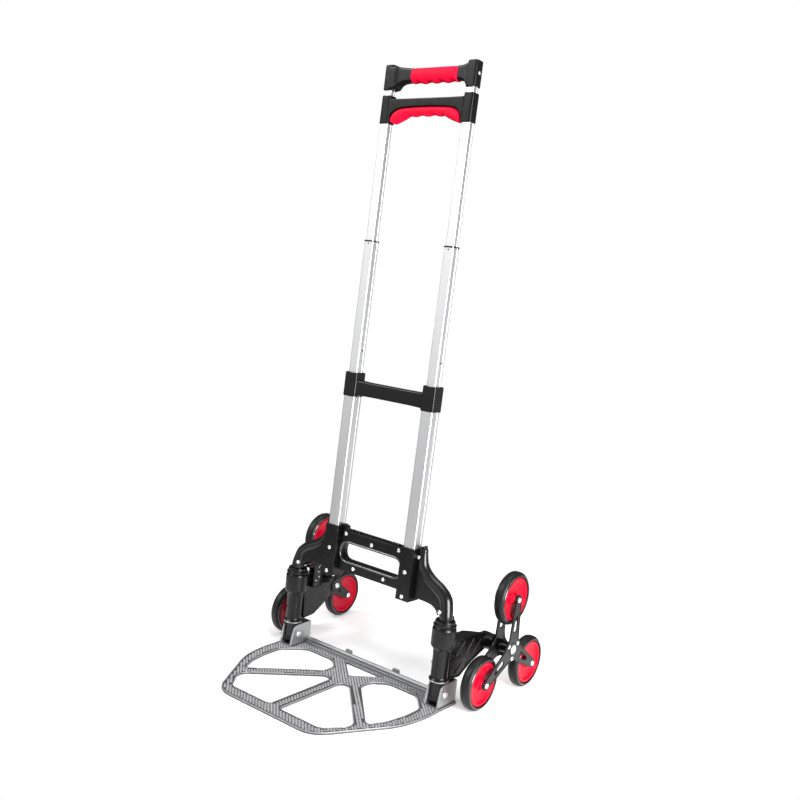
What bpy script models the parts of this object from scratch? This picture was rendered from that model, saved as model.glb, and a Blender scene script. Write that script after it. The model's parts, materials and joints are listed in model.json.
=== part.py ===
"""Folding stair climbing trolley with telescopic rails and six wheels.

Axes: +X to the right seen from the front, +Y to the rear, +Z up, metres.
The ground is Z = 0 and the trolley is symmetric about X = 0.
"""
import math

import bmesh
import bpy
from mathutils import Matrix, Vector

GAP = 0.0003

# Toe plate
PLATE_HALF_WIDTH = 0.1925
PLATE_FRONT = -0.2510
PLATE_REAR = 0.0190
PLATE_TOP = 0.0045
PLATE_BAND = 0.026
HINGE_Y = 0.0006
HINGE_Z = 0.0246
BRACKET_INNER = 0.1600
BRACKET_OUTER = 0.1890
BRACKET_WALL = 0.0026
BRACKET_REAR = 0.0350
BRACKET_TOP = 0.0450

# Rails and base frame
LEAN = math.radians(1.8)
RAIL_FOOT_Y = -0.0112
RAIL_X = 0.0883
OUTER_SIZE = 0.0242
MID_SIZE = 0.0192
INNER_SIZE = 0.0164
TOP_SIZE = 0.0136
OUTER_BOTTOM = 0.1720
OUTER_TOP = 0.5470
MID_BOTTOM = 0.4900
MID_TOP = 0.7890
INNER_BOTTOM = 0.7200
INNER_TOP = 1.0465
TOP_BOTTOM = 0.9900
TOP_TOP = 1.0990
BOX_HALF = 0.0145
BOX_BOTTOM = 0.1690
BOX_TOP = 0.2640
FRAME_FRONT = -0.0145
FRAME_SPLIT = 0.0035
FRAME_REAR = 0.0180
BEAM_FRONT = -0.0030
BEAM_BOTTOM = 0.1815
BEAM_TOP = 0.2570
LEG_RADIUS = 0.0120
LEG_DEPTH = 0.0080

# Pivot posts and wheel arms
POST_X = 0.1745
POST_Y = -0.0035
POST_RADIUS = 0.0092
BARREL_BOTTOM = 0.0506
BARREL_TOP = 0.1460
COLLAR_TOP = 0.1570
HUB_Y = 0.1234
HUB_Z = 0.0939

# Wheel clusters
CLUSTER_RADIUS = 0.0918
WHEEL_RADIUS = 0.0480
WHEEL_INNER = 0.2165
WHEEL_OUTER = 0.2380
RIM_RADIUS = 0.0394
AXLE_RADIUS = 0.0042
SPIDER_THICK = 0.0026
SPIDER_OUTER_X = 0.2400
SPIDER_INNER_X = 0.2119

# Handles
CROSS_BOTTOM = 0.5050
CROSS_TOP = 0.5495
LOWER_BOTTOM = 0.9980
LOWER_TOP = 1.0475
UPPER_BOTTOM = 1.0570
UPPER_TOP = 1.1010
SOCKET_SIZE = 0.0202
GRIP_LEFT = -0.0392
GRIP_RIGHT = 0.0590

BLACK = ("black_plastic", (0.024, 0.024, 0.026), 0.42, 0.0)
SATIN_BLACK = ("satin_black", (0.028, 0.028, 0.030), 0.32, 0.1)
RED = ("red_plastic", (0.78, 0.012, 0.045), 0.35, 0.0)
TYRE = ("tyre_rubber", (0.020, 0.020, 0.021), 0.62, 0.0)
ALUMINIUM = ("aluminium", (0.78, 0.79, 0.80), 0.30, 0.9)
CAST = ("cast_plate", (0.42, 0.42, 0.43), 0.45, 0.8)
STEEL = ("dark_steel", (0.10, 0.10, 0.10), 0.38, 0.8)
BOLT = ("zinc_bolt", (0.72, 0.73, 0.74), 0.28, 0.9)

FRAMES = {}
LOCAL = {}


def clear_scene():
    for obj in list(bpy.data.objects):
        bpy.data.objects.remove(obj, do_unlink=True)


def paint(look):
    name, colour, rough, metal = look
    mat = bpy.data.materials.get(name)
    if mat is None:
        mat = bpy.data.materials.new(name)
        mat.use_nodes = True
        shader = mat.node_tree.nodes["Principled BSDF"]
        shader.inputs["Base Color"].default_value = (*colour, 1.0)
        shader.inputs["Roughness"].default_value = rough
        shader.inputs["Metallic"].default_value = metal
    return mat


def frame_at(name, location, tilt=0.0):
    """An empty on a joint axis; pieces are built in its space."""
    empty = bpy.data.objects.new(name, None)
    empty.empty_display_size = 0.03
    empty.location = location
    empty.rotation_euler = (-tilt, 0.0, 0.0)
    bpy.context.scene.collection.objects.link(empty)
    FRAMES[name] = empty
    LOCAL[name] = (Matrix.Translation(location) @ Matrix.Rotation(-tilt, 4, "X")).inverted()
    return empty


def add(name, bm, look, frame, local=False, smooth=30.0):
    """Turn a bmesh into a named object under its frame's empty."""
    if not local:
        bm.transform(LOCAL[frame])
    bmesh.ops.recalc_face_normals(bm, faces=bm.faces)
    mesh = bpy.data.meshes.new(name)
    bm.to_mesh(mesh)
    bm.free()
    mesh.materials.append(paint(look))
    mesh.shade_smooth()
    mesh.set_sharp_from_angle(angle=math.radians(smooth))
    obj = bpy.data.objects.new(name, mesh)
    obj.parent = FRAMES[frame]
    bpy.context.scene.collection.objects.link(obj)
    return obj


def cutter(target, name, bm, frame, local=False, operation="DIFFERENCE"):
    """A hidden helper that cuts, or joins, its target."""
    tool = add(name, bm, BLACK, frame, local)
    tool.hide_render = True
    tool.display_type = "WIRE"
    step = target.modifiers.new(name, "BOOLEAN")
    step.operation = operation
    step.solver = "EXACT"
    step.object = tool
    return tool


def rounded(points, radius, steps=3):
    """Round the corners of a 2-D outline; radius may be one value per corner."""
    out = []
    count = len(points)
    for i, point in enumerate(points):
        size = radius[i] if isinstance(radius, (list, tuple)) else radius
        here = Vector(point)
        before = (Vector(points[i - 1]) - here)
        after = (Vector(points[(i + 1) % count]) - here)
        size = min(size, before.length * 0.49, after.length * 0.49)
        if size < 1e-5:
            out.append(tuple(here))
            continue
        start = here + before.normalized() * size
        end = here + after.normalized() * size
        for k in range(steps + 1):
            t = k / steps
            out.append(tuple(start * (1 - t) ** 2 + here * 2 * t * (1 - t) + end * t * t))
    return out


def prism(outline, low, high, plane="XY"):
    """Extrude an outline; plane names the outline's axes, the third is the depth."""
    bm = bmesh.new()
    place = {
        "XY": lambda a, b, d: (a, b, d),
        "XZ": lambda a, b, d: (a, d, b),
        "YZ": lambda a, b, d: (d, a, b),
    }[plane]
    face = bm.faces.new([bm.verts.new(place(a, b, low)) for a, b in outline])
    grown = bmesh.ops.extrude_face_region(bm, geom=[face])
    top = [v for v in grown["geom"] if isinstance(v, bmesh.types.BMVert)]
    bmesh.ops.translate(bm, verts=top, vec=Vector(place(0, 0, high - low)))
    return bm


def box(x0, x1, y0, y1, z0, z1):
    return prism([(x0, y0), (x1, y0), (x1, y1), (x0, y1)], z0, z1)


def turned(profile, centre, axis="X", steps=24, phase=0.0):
    """Spin a closed (radius, along) profile about an axis through centre."""
    bm = bmesh.new()
    rings = []
    for k in range(steps):
        a = 2 * math.pi * k / steps + phase
        ring = []
        for radius, along in profile:
            u, v = radius * math.cos(a), radius * math.sin(a)
            point = {"X": (along, u, v), "Z": (u, v, along)}[axis]
            ring.append(bm.verts.new(Vector(point) + Vector(centre)))
        rings.append(ring)
    for k in range(steps):
        a, b = rings[k], rings[(k + 1) % steps]
        for i in range(len(profile)):
            j = (i + 1) % len(profile)
            bm.faces.new((a[i], a[j], b[j], b[i]))
    return bm


def disc(radius, low, high, centre, axis="X", steps=16):
    """A solid cylinder along an axis."""
    bm = bmesh.new()
    bmesh.ops.create_cone(bm, cap_ends=True, segments=steps, radius1=radius, radius2=radius, depth=high - low)
    bmesh.ops.translate(bm, verts=bm.verts, vec=(0, 0, (low + high) / 2))
    if axis == "X":
        bmesh.ops.rotate(bm, verts=bm.verts, matrix=Matrix.Rotation(math.pi / 2, 3, "Y"))
    bmesh.ops.translate(bm, verts=bm.verts, vec=centre)
    return bm


def loft(sections):
    """Bridge closed sections with equal point counts and cap both ends."""
    bm = bmesh.new()
    rings = [[bm.verts.new(p) for p in section] for section in sections]
    count = len(rings[0])
    for a, b in zip(rings, rings[1:]):
        for i in range(count):
            j = (i + 1) % count
            bm.faces.new((a[i], a[j], b[j], b[i]))
    bm.faces.new(list(reversed(rings[0])))
    bm.faces.new(rings[-1])
    return bm


def smooth_path(points, per_span=4):
    """Catmull-Rom curve through the given points."""
    out = []
    ends = [points[0] * 2 - points[1]] + list(points) + [points[-1] * 2 - points[-2]]
    for i in range(1, len(ends) - 2):
        p0, p1, p2, p3 = ends[i - 1:i + 3]
        for k in range(per_span):
            t = k / per_span
            out.append(0.5 * (2 * p1 + (p2 - p0) * t + (2 * p0 - 5 * p1 + 4 * p2 - p3) * t ** 2
                              + (3 * p1 - p0 - 3 * p2 + p3) * t ** 3))
    out.append(points[-1].copy())
    return out


def sweep(path, radii, sides=12, side_axis=Vector((0, 1, 0))):
    """A round bar along a path that stays close to the XZ plane."""
    sections = []
    for i, point in enumerate(path):
        ahead = path[min(i + 1, len(path) - 1)] - path[max(i - 1, 0)]
        across = ahead.cross(side_axis).normalized()
        other = across.cross(ahead).normalized()
        sections.append([point + (across * math.cos(2 * math.pi * k / sides)
                                  + other * math.sin(2 * math.pi * k / sides)) * radii[i]
                         for k in range(sides)])
    return loft(sections)


def square_ring(size, corner):
    half = size / 2
    return rounded([(-half, -half), (half, -half), (half, half), (-half, half)], corner, 2)


def mirrored(side, x0, x1):
    """The span x0..x1 on the right side, or its mirror on the left."""
    return (x0, x1) if side > 0 else (-x1, -x0)


def rail(name, side, size, bore, low, high, frame):
    """A hollow square rail centred on the leaning rail axis."""
    x = side * RAIL_X
    bm = bmesh.new()
    loops = []
    for width, corner in ((size, size * 0.16), (bore, bore * 0.12)):
        outline = [(x + u, v) for u, v in square_ring(width, corner)]
        loops.append([[bm.verts.new((u, v, z)) for u, v in outline] for z in (low, high)])
    (out_low, out_high), (in_low, in_high) = loops
    count = len(out_low)
    for i in range(count):
        j = (i + 1) % count
        bm.faces.new((out_low[i], out_low[j], out_high[j], out_high[i]))
        bm.faces.new((in_low[j], in_low[i], in_high[i], in_high[j]))
        bm.faces.new((out_low[j], out_low[i], in_low[i], in_low[j]))
        bm.faces.new((out_high[i], out_high[j], in_high[j], in_high[i]))
    return add(name, bm, ALUMINIUM, frame, True)


def leg_path(side):
    """The S-bend of a leg in leaning coordinates, top to bottom."""
    knots = [(0.1092, 0.2610, 0.0), (0.1094, 0.249, 0.0), (0.1132, 0.231, 0.0), (0.1278, 0.214, 0.0),
             (0.1497, 0.203, -0.0005), (0.1642, 0.193, -0.0015), (0.1722, 0.180, -0.0035)]
    return smooth_path([Vector((side * x, LEG_DEPTH + d, s)) for x, s, d in knots], 2)


def leg_radius(height):
    """The leg thins towards its top, where the shell holds it."""
    return LEG_RADIUS - 0.0050 * max(0.0, min(1.0, (height - 0.2150) / 0.0450))


def build_leg(side, tag):
    """The bent leg with its post, which runs down through the pivot barrel."""
    lean = FRAMES["rails"].matrix_basis
    path = [lean @ p for p in leg_path(side)]
    x = side * POST_X
    crown = [lean @ Vector((side * 0.1092, LEG_DEPTH, s)) for s in (0.2680, 0.2660)]
    for z in (0.163, BARREL_TOP + GAP * 2):
        path.append(Vector((x, POST_Y, z)))
    radii = [leg_radius(p.z) for p in path]
    for z in (BARREL_TOP + GAP, 0.0490):
        path.append(Vector((x, POST_Y, z)))
        radii.append(POST_RADIUS)
    path, radii = crown + path, [0.0030, 0.0056] + radii
    add("leg_tube_" + tag, sweep(path, radii), SATIN_BLACK, "frame")


def shell(name, front, rear, box_front):
    """One half of the moulded base frame, between two depths."""
    outline = [(-RAIL_X, BEAM_BOTTOM), (RAIL_X, BEAM_BOTTOM), (RAIL_X, BEAM_TOP), (-RAIL_X, BEAM_TOP)]
    obj = add(name, prism(outline, front, rear, "XZ"), BLACK, "rails", True)
    slot = rounded([(-0.070, 0.2010), (0.070, 0.2010), (0.070, 0.2350), (-0.070, 0.2350)], 0.0165, 4)
    for side, tag in ((-1, "left"), (1, "right")):
        x = side * RAIL_X
        block = rounded([(x - BOX_HALF, BOX_BOTTOM), (x + BOX_HALF, BOX_BOTTOM),
                         (x + BOX_HALF, BOX_TOP), (x - BOX_HALF, BOX_TOP)], 0.002, 1)
        cutter(obj, f"{name}_box_{tag}", prism(block, min(box_front, front), rear, "XZ"), "rails", True, "UNION")
        web = [(x, 0.2570)] + [(p.x, p.z) for p in leg_path(side) if p.z < 0.2580]
        web += [(side * 0.1745, 0.1640), (side * 0.1590, 0.1640), (side * 0.1555, 0.1687),
                (side * 0.1492, 0.1734), (side * 0.1424, 0.1759), (side * 0.1314, 0.1771),
                (side * 0.1178, 0.1776), (side * 0.1020, 0.1745), (x, 0.1745)]
        cutter(obj, f"{name}_web_{tag}", prism(web, front, rear, "XZ"), "rails", True, "UNION")
    tab = [(-0.0780, 0.2540), (-0.0560, 0.2540), (-0.0580, 0.2670), (-0.0760, 0.2685)]
    cutter(obj, name + "_tab", prism(tab, front, rear, "XZ"), "rails", True, "UNION")
    cutter(obj, name + "_slot", prism(slot, front - 0.01, rear + 0.01, "XZ"), "rails", True)
    for side, tag in ((-1, "left"), (1, "right")):
        x = side * RAIL_X
        half = OUTER_SIZE / 2 + GAP
        well = box(x - half, x + half, -half, half, OUTER_BOTTOM - GAP, BOX_TOP + 0.01)
        cutter(obj, f"{name}_well_{tag}", well, "rails", True)
        path = leg_path(side)
        path.insert(0, path[0] + Vector((0, 0, 0.01)))
        path.append(Vector((side * 0.1745, LEG_DEPTH - 0.0058, 0.160)))
        radii = [leg_radius(p.z) + GAP for p in path]
        cutter(obj, f"{name}_leg_{tag}", sweep(path, radii), "rails", True)
    return obj


def build_frame():
    shell("frame_front_shell", BEAM_FRONT, FRAME_SPLIT, FRAME_FRONT)
    shell("frame_rear_shell", FRAME_SPLIT + GAP, FRAME_REAR, FRAME_SPLIT + GAP)
    for side, tag in ((-1, "left"), (1, "right")):
        build_leg(side, tag)
        rail("outer_rail_" + tag, side, OUTER_SIZE, MID_SIZE + 2 * GAP, OUTER_BOTTOM, OUTER_TOP, "rails")
        x = side * POST_X
        ring = [(LEG_RADIUS + GAP, BARREL_TOP + 0.0006), (0.0205, BARREL_TOP + 0.0006),
                (0.0205, 0.1500), (0.0180, 0.1515), (0.0176, COLLAR_TOP), (LEG_RADIUS + GAP, COLLAR_TOP)]
        add("leg_collar_" + tag, turned(ring, (x, POST_Y, 0), "Z", 20), BLACK, "frame")
        low, high = mirrored(side, BRACKET_INNER + BRACKET_WALL + GAP, BRACKET_OUTER - BRACKET_WALL - GAP)
        foot = [(-0.0136, 0.0480)]
        for k in range(9):
            a = math.radians(222 + (318 - 222) * k / 8)
            foot.append((HINGE_Y + 0.0193 * math.cos(a), HINGE_Z + 0.0193 * math.sin(a)))
        foot.append((0.0150, 0.0480))
        block = add("foot_block_" + tag, prism(foot, low, high, "YZ"), BLACK, "frame")
        bore = disc(0.0036, low - 0.01, high + 0.01, (0, HINGE_Y, HINGE_Z), "X", 12)
        cutter(block, "foot_bore_" + tag, bore, "frame")
        add("post_washer_" + tag, disc(0.0168, 0.0483, 0.0487, (x, POST_Y, 0), "Z", 20), BOLT, "frame")


def build_crossbar():
    beam = [(-RAIL_X, 0.5085), (RAIL_X, 0.5085), (RAIL_X, 0.5350), (-RAIL_X, 0.5350)]
    obj = add("crossbar", prism(beam, -0.0105, 0.0105, "XZ"), BLACK, "rails", True)
    for side, tag in ((-1, "left"), (1, "right")):
        x = side * RAIL_X
        ring = [(x + u, v) for u, v in square_ring(0.0278, 0.004)]
        cutter(obj, "crossbar_socket_" + tag, prism(ring, CROSS_BOTTOM, CROSS_TOP), "rails", True, "UNION")
    for side, tag in ((-1, "left"), (1, "right")):
        x = side * RAIL_X
        half = OUTER_SIZE / 2 + GAP
        cutter(obj, "crossbar_bore_" + tag,
               box(x - half, x + half, -half, half, CROSS_BOTTOM - 0.01, OUTER_TOP + GAP), "rails", True)
        half = MID_SIZE / 2 + GAP
        cutter(obj, "crossbar_mouth_" + tag,
               box(x - half, x + half, -half, half, OUTER_TOP - 0.001, CROSS_TOP + 0.01), "rails", True)


def build_plate():
    half = [(0.0, PLATE_FRONT), (0.1080, PLATE_FRONT), (0.1830, -0.1180), (PLATE_HALF_WIDTH, -0.0640),
            (PLATE_HALF_WIDTH, BRACKET_REAR), (0.1560, BRACKET_REAR), (0.1560, PLATE_REAR)]
    corner = [0.0, 0.030, 0.040, 0.020, 0.003, 0.0, 0.0]
    outline = half + [(-x, y) for x, y in reversed(half[1:])]
    outline = rounded(outline, corner + list(reversed(corner[1:])), 4)
    plate = add("toe_plate", prism(outline, 0.0, PLATE_TOP), CAST, "plate")
    side_window = [(0.0440, -0.0505), (0.1430, -0.1560), (0.1600, -0.1180), (0.1665, -0.0780),
                   (0.1665, -0.0400), (0.1320, 0.0000), (0.0680, 0.0000), (0.0430, -0.0240)]
    front_window = [(0.0110, -0.2240), (0.1020, -0.2240), (0.1300, -0.1860), (0.1280, -0.1690),
                    (0.0270, -0.0620), (0.0110, -0.0700)]
    for side, tag in ((-1, "left"), (1, "right")):
        for label, window, radius in (("side", side_window, 0.010), ("front", front_window, 0.009)):
            hole = rounded([(side * x, y) for x, y in window], radius, 3)
            cutter(plate, f"plate_{label}_window_{tag}", prism(hole, -0.01, 0.02), "plate")
    rear = rounded([(-0.0450, 0.0120), (0.0, -0.0330), (0.0450, 0.0120)], 0.006, 2)
    cutter(plate, "plate_rear_window", prism(rear, -0.01, 0.02), "plate")

    bar = [(PLATE_REAR + GAP, 0.0), (BRACKET_REAR, 0.0), (BRACKET_REAR, 0.0110), (0.0300, 0.0128),
           (0.0240, 0.0128), (PLATE_REAR + GAP, 0.0080)]
    span = 0.1560 - GAP
    rear_bar = add("toe_rear_bar", prism(bar, -span, span, "YZ"), ALUMINIUM, "plate")
    for side, tag in ((-1, "left"), (1, "right")):
        low, high = mirrored(side, 0.0490, 0.0650)
        lug = rounded([(low, 0.0100), (high, 0.0100), (high, 0.0185), (low, 0.0185)], 0.004, 2)
        cutter(rear_bar, "rear_bar_lug_" + tag, prism(lug, 0.0318, BRACKET_REAR, "XZ"), "plate",
               operation="UNION")

    for side, tag in ((-1, "left"), (1, "right")):
        low, high = mirrored(side, BRACKET_INNER, BRACKET_OUTER)
        base = PLATE_TOP + GAP
        profile = rounded([(-0.0190, base), (BRACKET_REAR, base), (BRACKET_REAR, BRACKET_TOP),
                           (-0.0110, BRACKET_TOP - 0.0015)], [0, 0, 0.004, 0.006], 2)
        bracket = add("toe_bracket_" + tag, prism(profile, low, high, "YZ"), ALUMINIUM, "plate")
        inner_low, inner_high = low + BRACKET_WALL, high - BRACKET_WALL
        well = box(inner_low, inner_high, -0.05, BRACKET_REAR - 0.0026, -0.01, 0.07)
        cutter(bracket, "bracket_channel_" + tag, well, "plate")
        hole = disc(0.0036, low - 0.01, high + 0.01, (0, HINGE_Y, HINGE_Z), "X", 12)
        cutter(bracket, "bracket_bore_" + tag, hole, "plate")
        pin = [(0.0, low - 0.0026), (0.0052, low - 0.0022), (0.0058, low - GAP), (0.0033, low - GAP),
               (0.0033, high + GAP), (0.0058, high + GAP), (0.0052, high + 0.0022), (0.0, high + 0.0026)]
        add("toe_hinge_pin_" + tag, lathe(pin, (0, HINGE_Y, HINGE_Z), 12), BOLT, "plate")


def lathe(profile, centre, steps=16):
    """Spin an open (radius, along X) profile that starts and ends on the axis."""
    bm = bmesh.new()
    first = bm.verts.new(Vector((profile[0][1], 0, 0)) + Vector(centre))
    last = bm.verts.new(Vector((profile[-1][1], 0, 0)) + Vector(centre))
    rings = []
    for radius, along in profile[1:-1]:
        rings.append([bm.verts.new(Vector((along, radius * math.cos(2 * math.pi * k / steps),
                                           radius * math.sin(2 * math.pi * k / steps))) + Vector(centre))
                      for k in range(steps)])
    for k in range(steps):
        j = (k + 1) % steps
        bm.faces.new((first, rings[0][j], rings[0][k]))
        bm.faces.new((last, rings[-1][k], rings[-1][j]))
        for a, b in zip(rings, rings[1:]):
            bm.faces.new((a[k], a[j], b[j], b[k]))
    return bm


def build_arm(side, tag):
    """The pivot barrel with the swinging arm and the hub boss behind it."""
    frame = "arm_" + tag
    x = side * POST_X
    outer = [(0.0176, BARREL_BOTTOM), (0.0176, 0.0530), (0.0150, 0.0560), (0.0150, 0.1060),
             (0.0212, 0.1120), (0.0212, 0.1430), (0.0198, BARREL_TOP)]
    bore = POST_RADIUS + GAP
    barrel = outer + [(bore, BARREL_TOP), (bore, BARREL_BOTTOM)]
    arm = add("wheel_arm_" + tag, turned(barrel, (x, POST_Y, 0), "Z", 20), BLACK, frame)
    low, high = mirrored(side, 0.1610, 0.1870)
    beam = [(0.0075, 0.1060), (0.0110, 0.1200), (0.0900, 0.1140), (0.1234, 0.1090), (0.1330, 0.0990),
            (0.1330, 0.0850), (0.1234, 0.0790), (0.0800, 0.0800), (0.0400, 0.0560), (0.0110, 0.0535)]
    cutter(arm, "arm_beam_" + tag, prism(beam, low, high, "YZ"), frame, operation="UNION")
    relief = [(side * 0.1550, 0.0780), (side * 0.1620, 0.0780), (side * 0.1790, 0.1020),
              (side * 0.1790, 0.1400), (side * 0.1550, 0.1400)]
    cutter(arm, "arm_relief_" + tag, prism(relief, 0.0600, 0.1300, "XY"), frame)
    skirt = [(0.0115, 0.0490), (0.0430, 0.0456), (0.0800, 0.0650), (0.1240, 0.0800), (0.1000, 0.0920), (0.0115, 0.0720)]
    low, high = mirrored(side, 0.1790, 0.1866)
    cutter(arm, "arm_skirt_" + tag, prism(skirt, low, high, "YZ"), frame, operation="UNION")
    lug = [(0.0185, 0.1170), (0.0430, 0.1150), (0.0430, 0.1480), (0.0360, 0.1580), (0.0185, 0.1640)]
    low, high = mirrored(side, 0.1500, 0.1632)
    cutter(arm, "arm_lug_" + tag, prism(lug, low, high, "YZ"), frame, operation="UNION")
    low, high = mirrored(side, 0.1800, 0.2090)
    cutter(arm, "arm_boss_" + tag, disc(0.0150, low, high, (0, HUB_Y, HUB_Z), "X", 16), frame,
           operation="UNION")
    hole = disc(bore, BARREL_BOTTOM - 0.01, BARREL_TOP + 0.01, (x, POST_Y, 0), "Z", 20)
    cutter(arm, "arm_bore_" + tag, hole, frame)
    low, high = mirrored(side, 0.1900, 0.2200)
    cutter(arm, "arm_hub_bore_" + tag, disc(0.0053, low, high, (0, HUB_Y, HUB_Z), "X", 12), frame)
    near, far = side * 0.1904, side * 0.2452
    pin = [(0.0, near), (0.0050, near), (0.0050, side * 0.2430), (0.0082, side * 0.2430),
           (0.0072, far), (0.0, far)]
    add("hub_axle_" + tag, lathe(pin, (0, HUB_Y, HUB_Z), 12), BOLT, frame)


def spider_outline():
    """A three-armed plate around the hub, one arm pointing up, in (Y, Z)."""
    points = []
    radii = []
    for k in range(3):
        a = math.radians(90 + 120 * k)
        ahead = Vector((math.cos(a), math.sin(a)))
        across = Vector((math.sin(a), -math.cos(a)))
        for along, offset, radius in ((0.017, 0.0150, 0.010), (CLUSTER_RADIUS - 0.004, 0.0088, 0.002),
                                      (CLUSTER_RADIUS + 0.0086, 0.0060, 0.004),
                                      (CLUSTER_RADIUS + 0.0086, -0.0060, 0.004),
                                      (CLUSTER_RADIUS - 0.004, -0.0088, 0.002), (0.017, -0.0150, 0.010)):
            points.append(tuple(ahead * along + across * offset))
            radii.append(radius)
    return rounded(points, radii, 2)


def build_spider(side, tag):
    frame = "spider_" + tag
    outline = [(HUB_Y + y, HUB_Z + z) for y, z in spider_outline()]
    for label, start in (("outer", SPIDER_OUTER_X), ("inner", SPIDER_INNER_X)):
        low, high = mirrored(side, start, start + SPIDER_THICK)
        plate = add(f"spider_{label}_{tag}", prism(outline, low, high, "YZ"), STEEL, frame)
        hub = disc(0.0062, low - 0.01, high + 0.01, (0, HUB_Y, HUB_Z), "X", 12)
        cutter(plate, f"spider_{label}_hub_{tag}", hub, frame)
        for k in range(3):
            a = math.radians(90 + 120 * k)
            ahead = Vector((math.cos(a), math.sin(a)))
            across = Vector((math.sin(a), -math.cos(a)))
            tip = Vector((HUB_Y, HUB_Z)) + ahead * CLUSTER_RADIUS
            hole = disc(AXLE_RADIUS + GAP, low - 0.01, high + 0.01, (0, tip.x, tip.y), "X", 12)
            cutter(plate, f"spider_{label}_axle_{tag}_{k}", hole, frame)
            mid = Vector((HUB_Y, HUB_Z))
            slot = [mid + ahead * 0.034 + across * 0.0046, mid + ahead * 0.062 + across * 0.0036,
                    mid + ahead * 0.062 - across * 0.0036, mid + ahead * 0.034 - across * 0.0046]
            window = rounded([tuple(p) for p in slot], 0.0034, 2)
            cutter(plate, f"spider_{label}_slot_{tag}_{k}", prism(window, low - 0.01, high + 0.01, "YZ"), frame)
    low = side * (SPIDER_INNER_X + SPIDER_THICK + GAP)
    high = side * (SPIDER_OUTER_X - GAP)
    sleeve = [(0.0056, low), (0.0110, low), (0.0110, high), (0.0056, high)]
    add("hub_sleeve_" + tag, turned(sleeve, (0, HUB_Y, HUB_Z), "X", 14), STEEL, frame)
    for k in range(3):
        build_wheel(side, tag, k)


def build_wheel(side, tag, k):
    """One wheel with its axle bolt; k = 0 top, 1 front, 2 rear."""
    place = ("top", "front", "rear")[k]
    a = math.radians(90 + 120 * k)
    y = HUB_Y + CLUSTER_RADIUS * math.cos(a)
    z = HUB_Z + CLUSTER_RADIUS * math.sin(a)
    frame = frame_at(f"wheel_{place}_{tag}", (0, y, z)).name
    r = WHEEL_RADIUS
    a0, a1 = WHEEL_INNER, WHEEL_OUTER
    tread = [(RIM_RADIUS + GAP, a0 + 0.0006), (0.0435, a0), (r - 0.0022, a0 + 0.0020), (r, a0 + 0.0062),
             (r, a1 - 0.0062), (r - 0.0022, a1 - 0.0020), (0.0435, a1), (RIM_RADIUS + GAP, a1 - 0.0006)]
    add(f"tyre_{place}_{tag}", turned([(p, side * q) for p, q in tread], (0, 0, 0), "X", 20), TYRE, frame, True)
    bore = AXLE_RADIUS + GAP
    dish = [(bore, a0 + 0.0012), (0.0090, a0 + 0.0012), (0.0120, a0 + 0.0060), (0.0340, a0 + 0.0060),
            (RIM_RADIUS, a0 + 0.0020), (RIM_RADIUS, a1 - 0.0016), (0.0350, a1 - 0.0040),
            (0.0120, a1 - 0.0070), (0.0090, a1 - 0.0012), (bore, a1 - 0.0012)]
    add(f"rim_{place}_{tag}", turned([(p, side * q) for p, q in dish], (0, 0, 0), "X", 20), RED, frame, True)
    near, far = side * (SPIDER_INNER_X - 0.0040), side * (SPIDER_OUTER_X + SPIDER_THICK + 0.0036)
    pin = [(0.0, near), (0.0066, near), (0.0066, side * (SPIDER_INNER_X - GAP)),
           (AXLE_RADIUS, side * (SPIDER_INNER_X - GAP)),
           (AXLE_RADIUS, side * (SPIDER_OUTER_X + SPIDER_THICK + GAP)),
           (0.0066, side * (SPIDER_OUTER_X + SPIDER_THICK + GAP)), (0.0052, far), (0.0, far)]
    add(f"axle_bolt_{place}_{tag}", lathe(pin, (0, y, z), 12), BOLT, "spider_" + tag)


def build_stages():
    for side, tag in ((-1, "left"), (1, "right")):
        x = side * RAIL_X
        rail("mid_tube_" + tag, side, MID_SIZE, INNER_SIZE + 2 * GAP, MID_BOTTOM, MID_TOP, "mid")
        rail("inner_tube_" + tag, side, INNER_SIZE, TOP_SIZE + 2 * GAP, INNER_BOTTOM, INNER_TOP, "inner")
        rail("top_tube_" + tag, side, TOP_SIZE, TOP_SIZE - 0.0024, TOP_BOTTOM, TOP_TOP - GAP, "top")
        ring = [(x + u, v) for u, v in square_ring(MID_SIZE + 0.0018, 0.003)]
        collar = add("tube_collar_" + tag, prism(ring, MID_TOP - 0.0012, MID_TOP + 0.0014), BLACK, "mid", True)
        half = MID_SIZE / 2 + GAP
        cutter(collar, "collar_bore_" + tag,
               box(x - half, x + half, -half, half, MID_TOP - 0.01, MID_TOP + GAP), "mid", True)
        half = INNER_SIZE / 2 + GAP
        cutter(collar, "collar_mouth_" + tag,
               box(x - half, x + half, -half, half, MID_TOP - 0.001, MID_TOP + 0.01), "mid", True)


def arch(half, base, crown, shape=2.4, count=17):
    """Points of a flat-topped arch."""
    out = []
    for k in range(count):
        t = -1 + 2 * k / (count - 1)
        out.append((half * t, base + (crown - base) * (1 - abs(t) ** shape) ** (1 / shape)))
    return out


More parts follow.
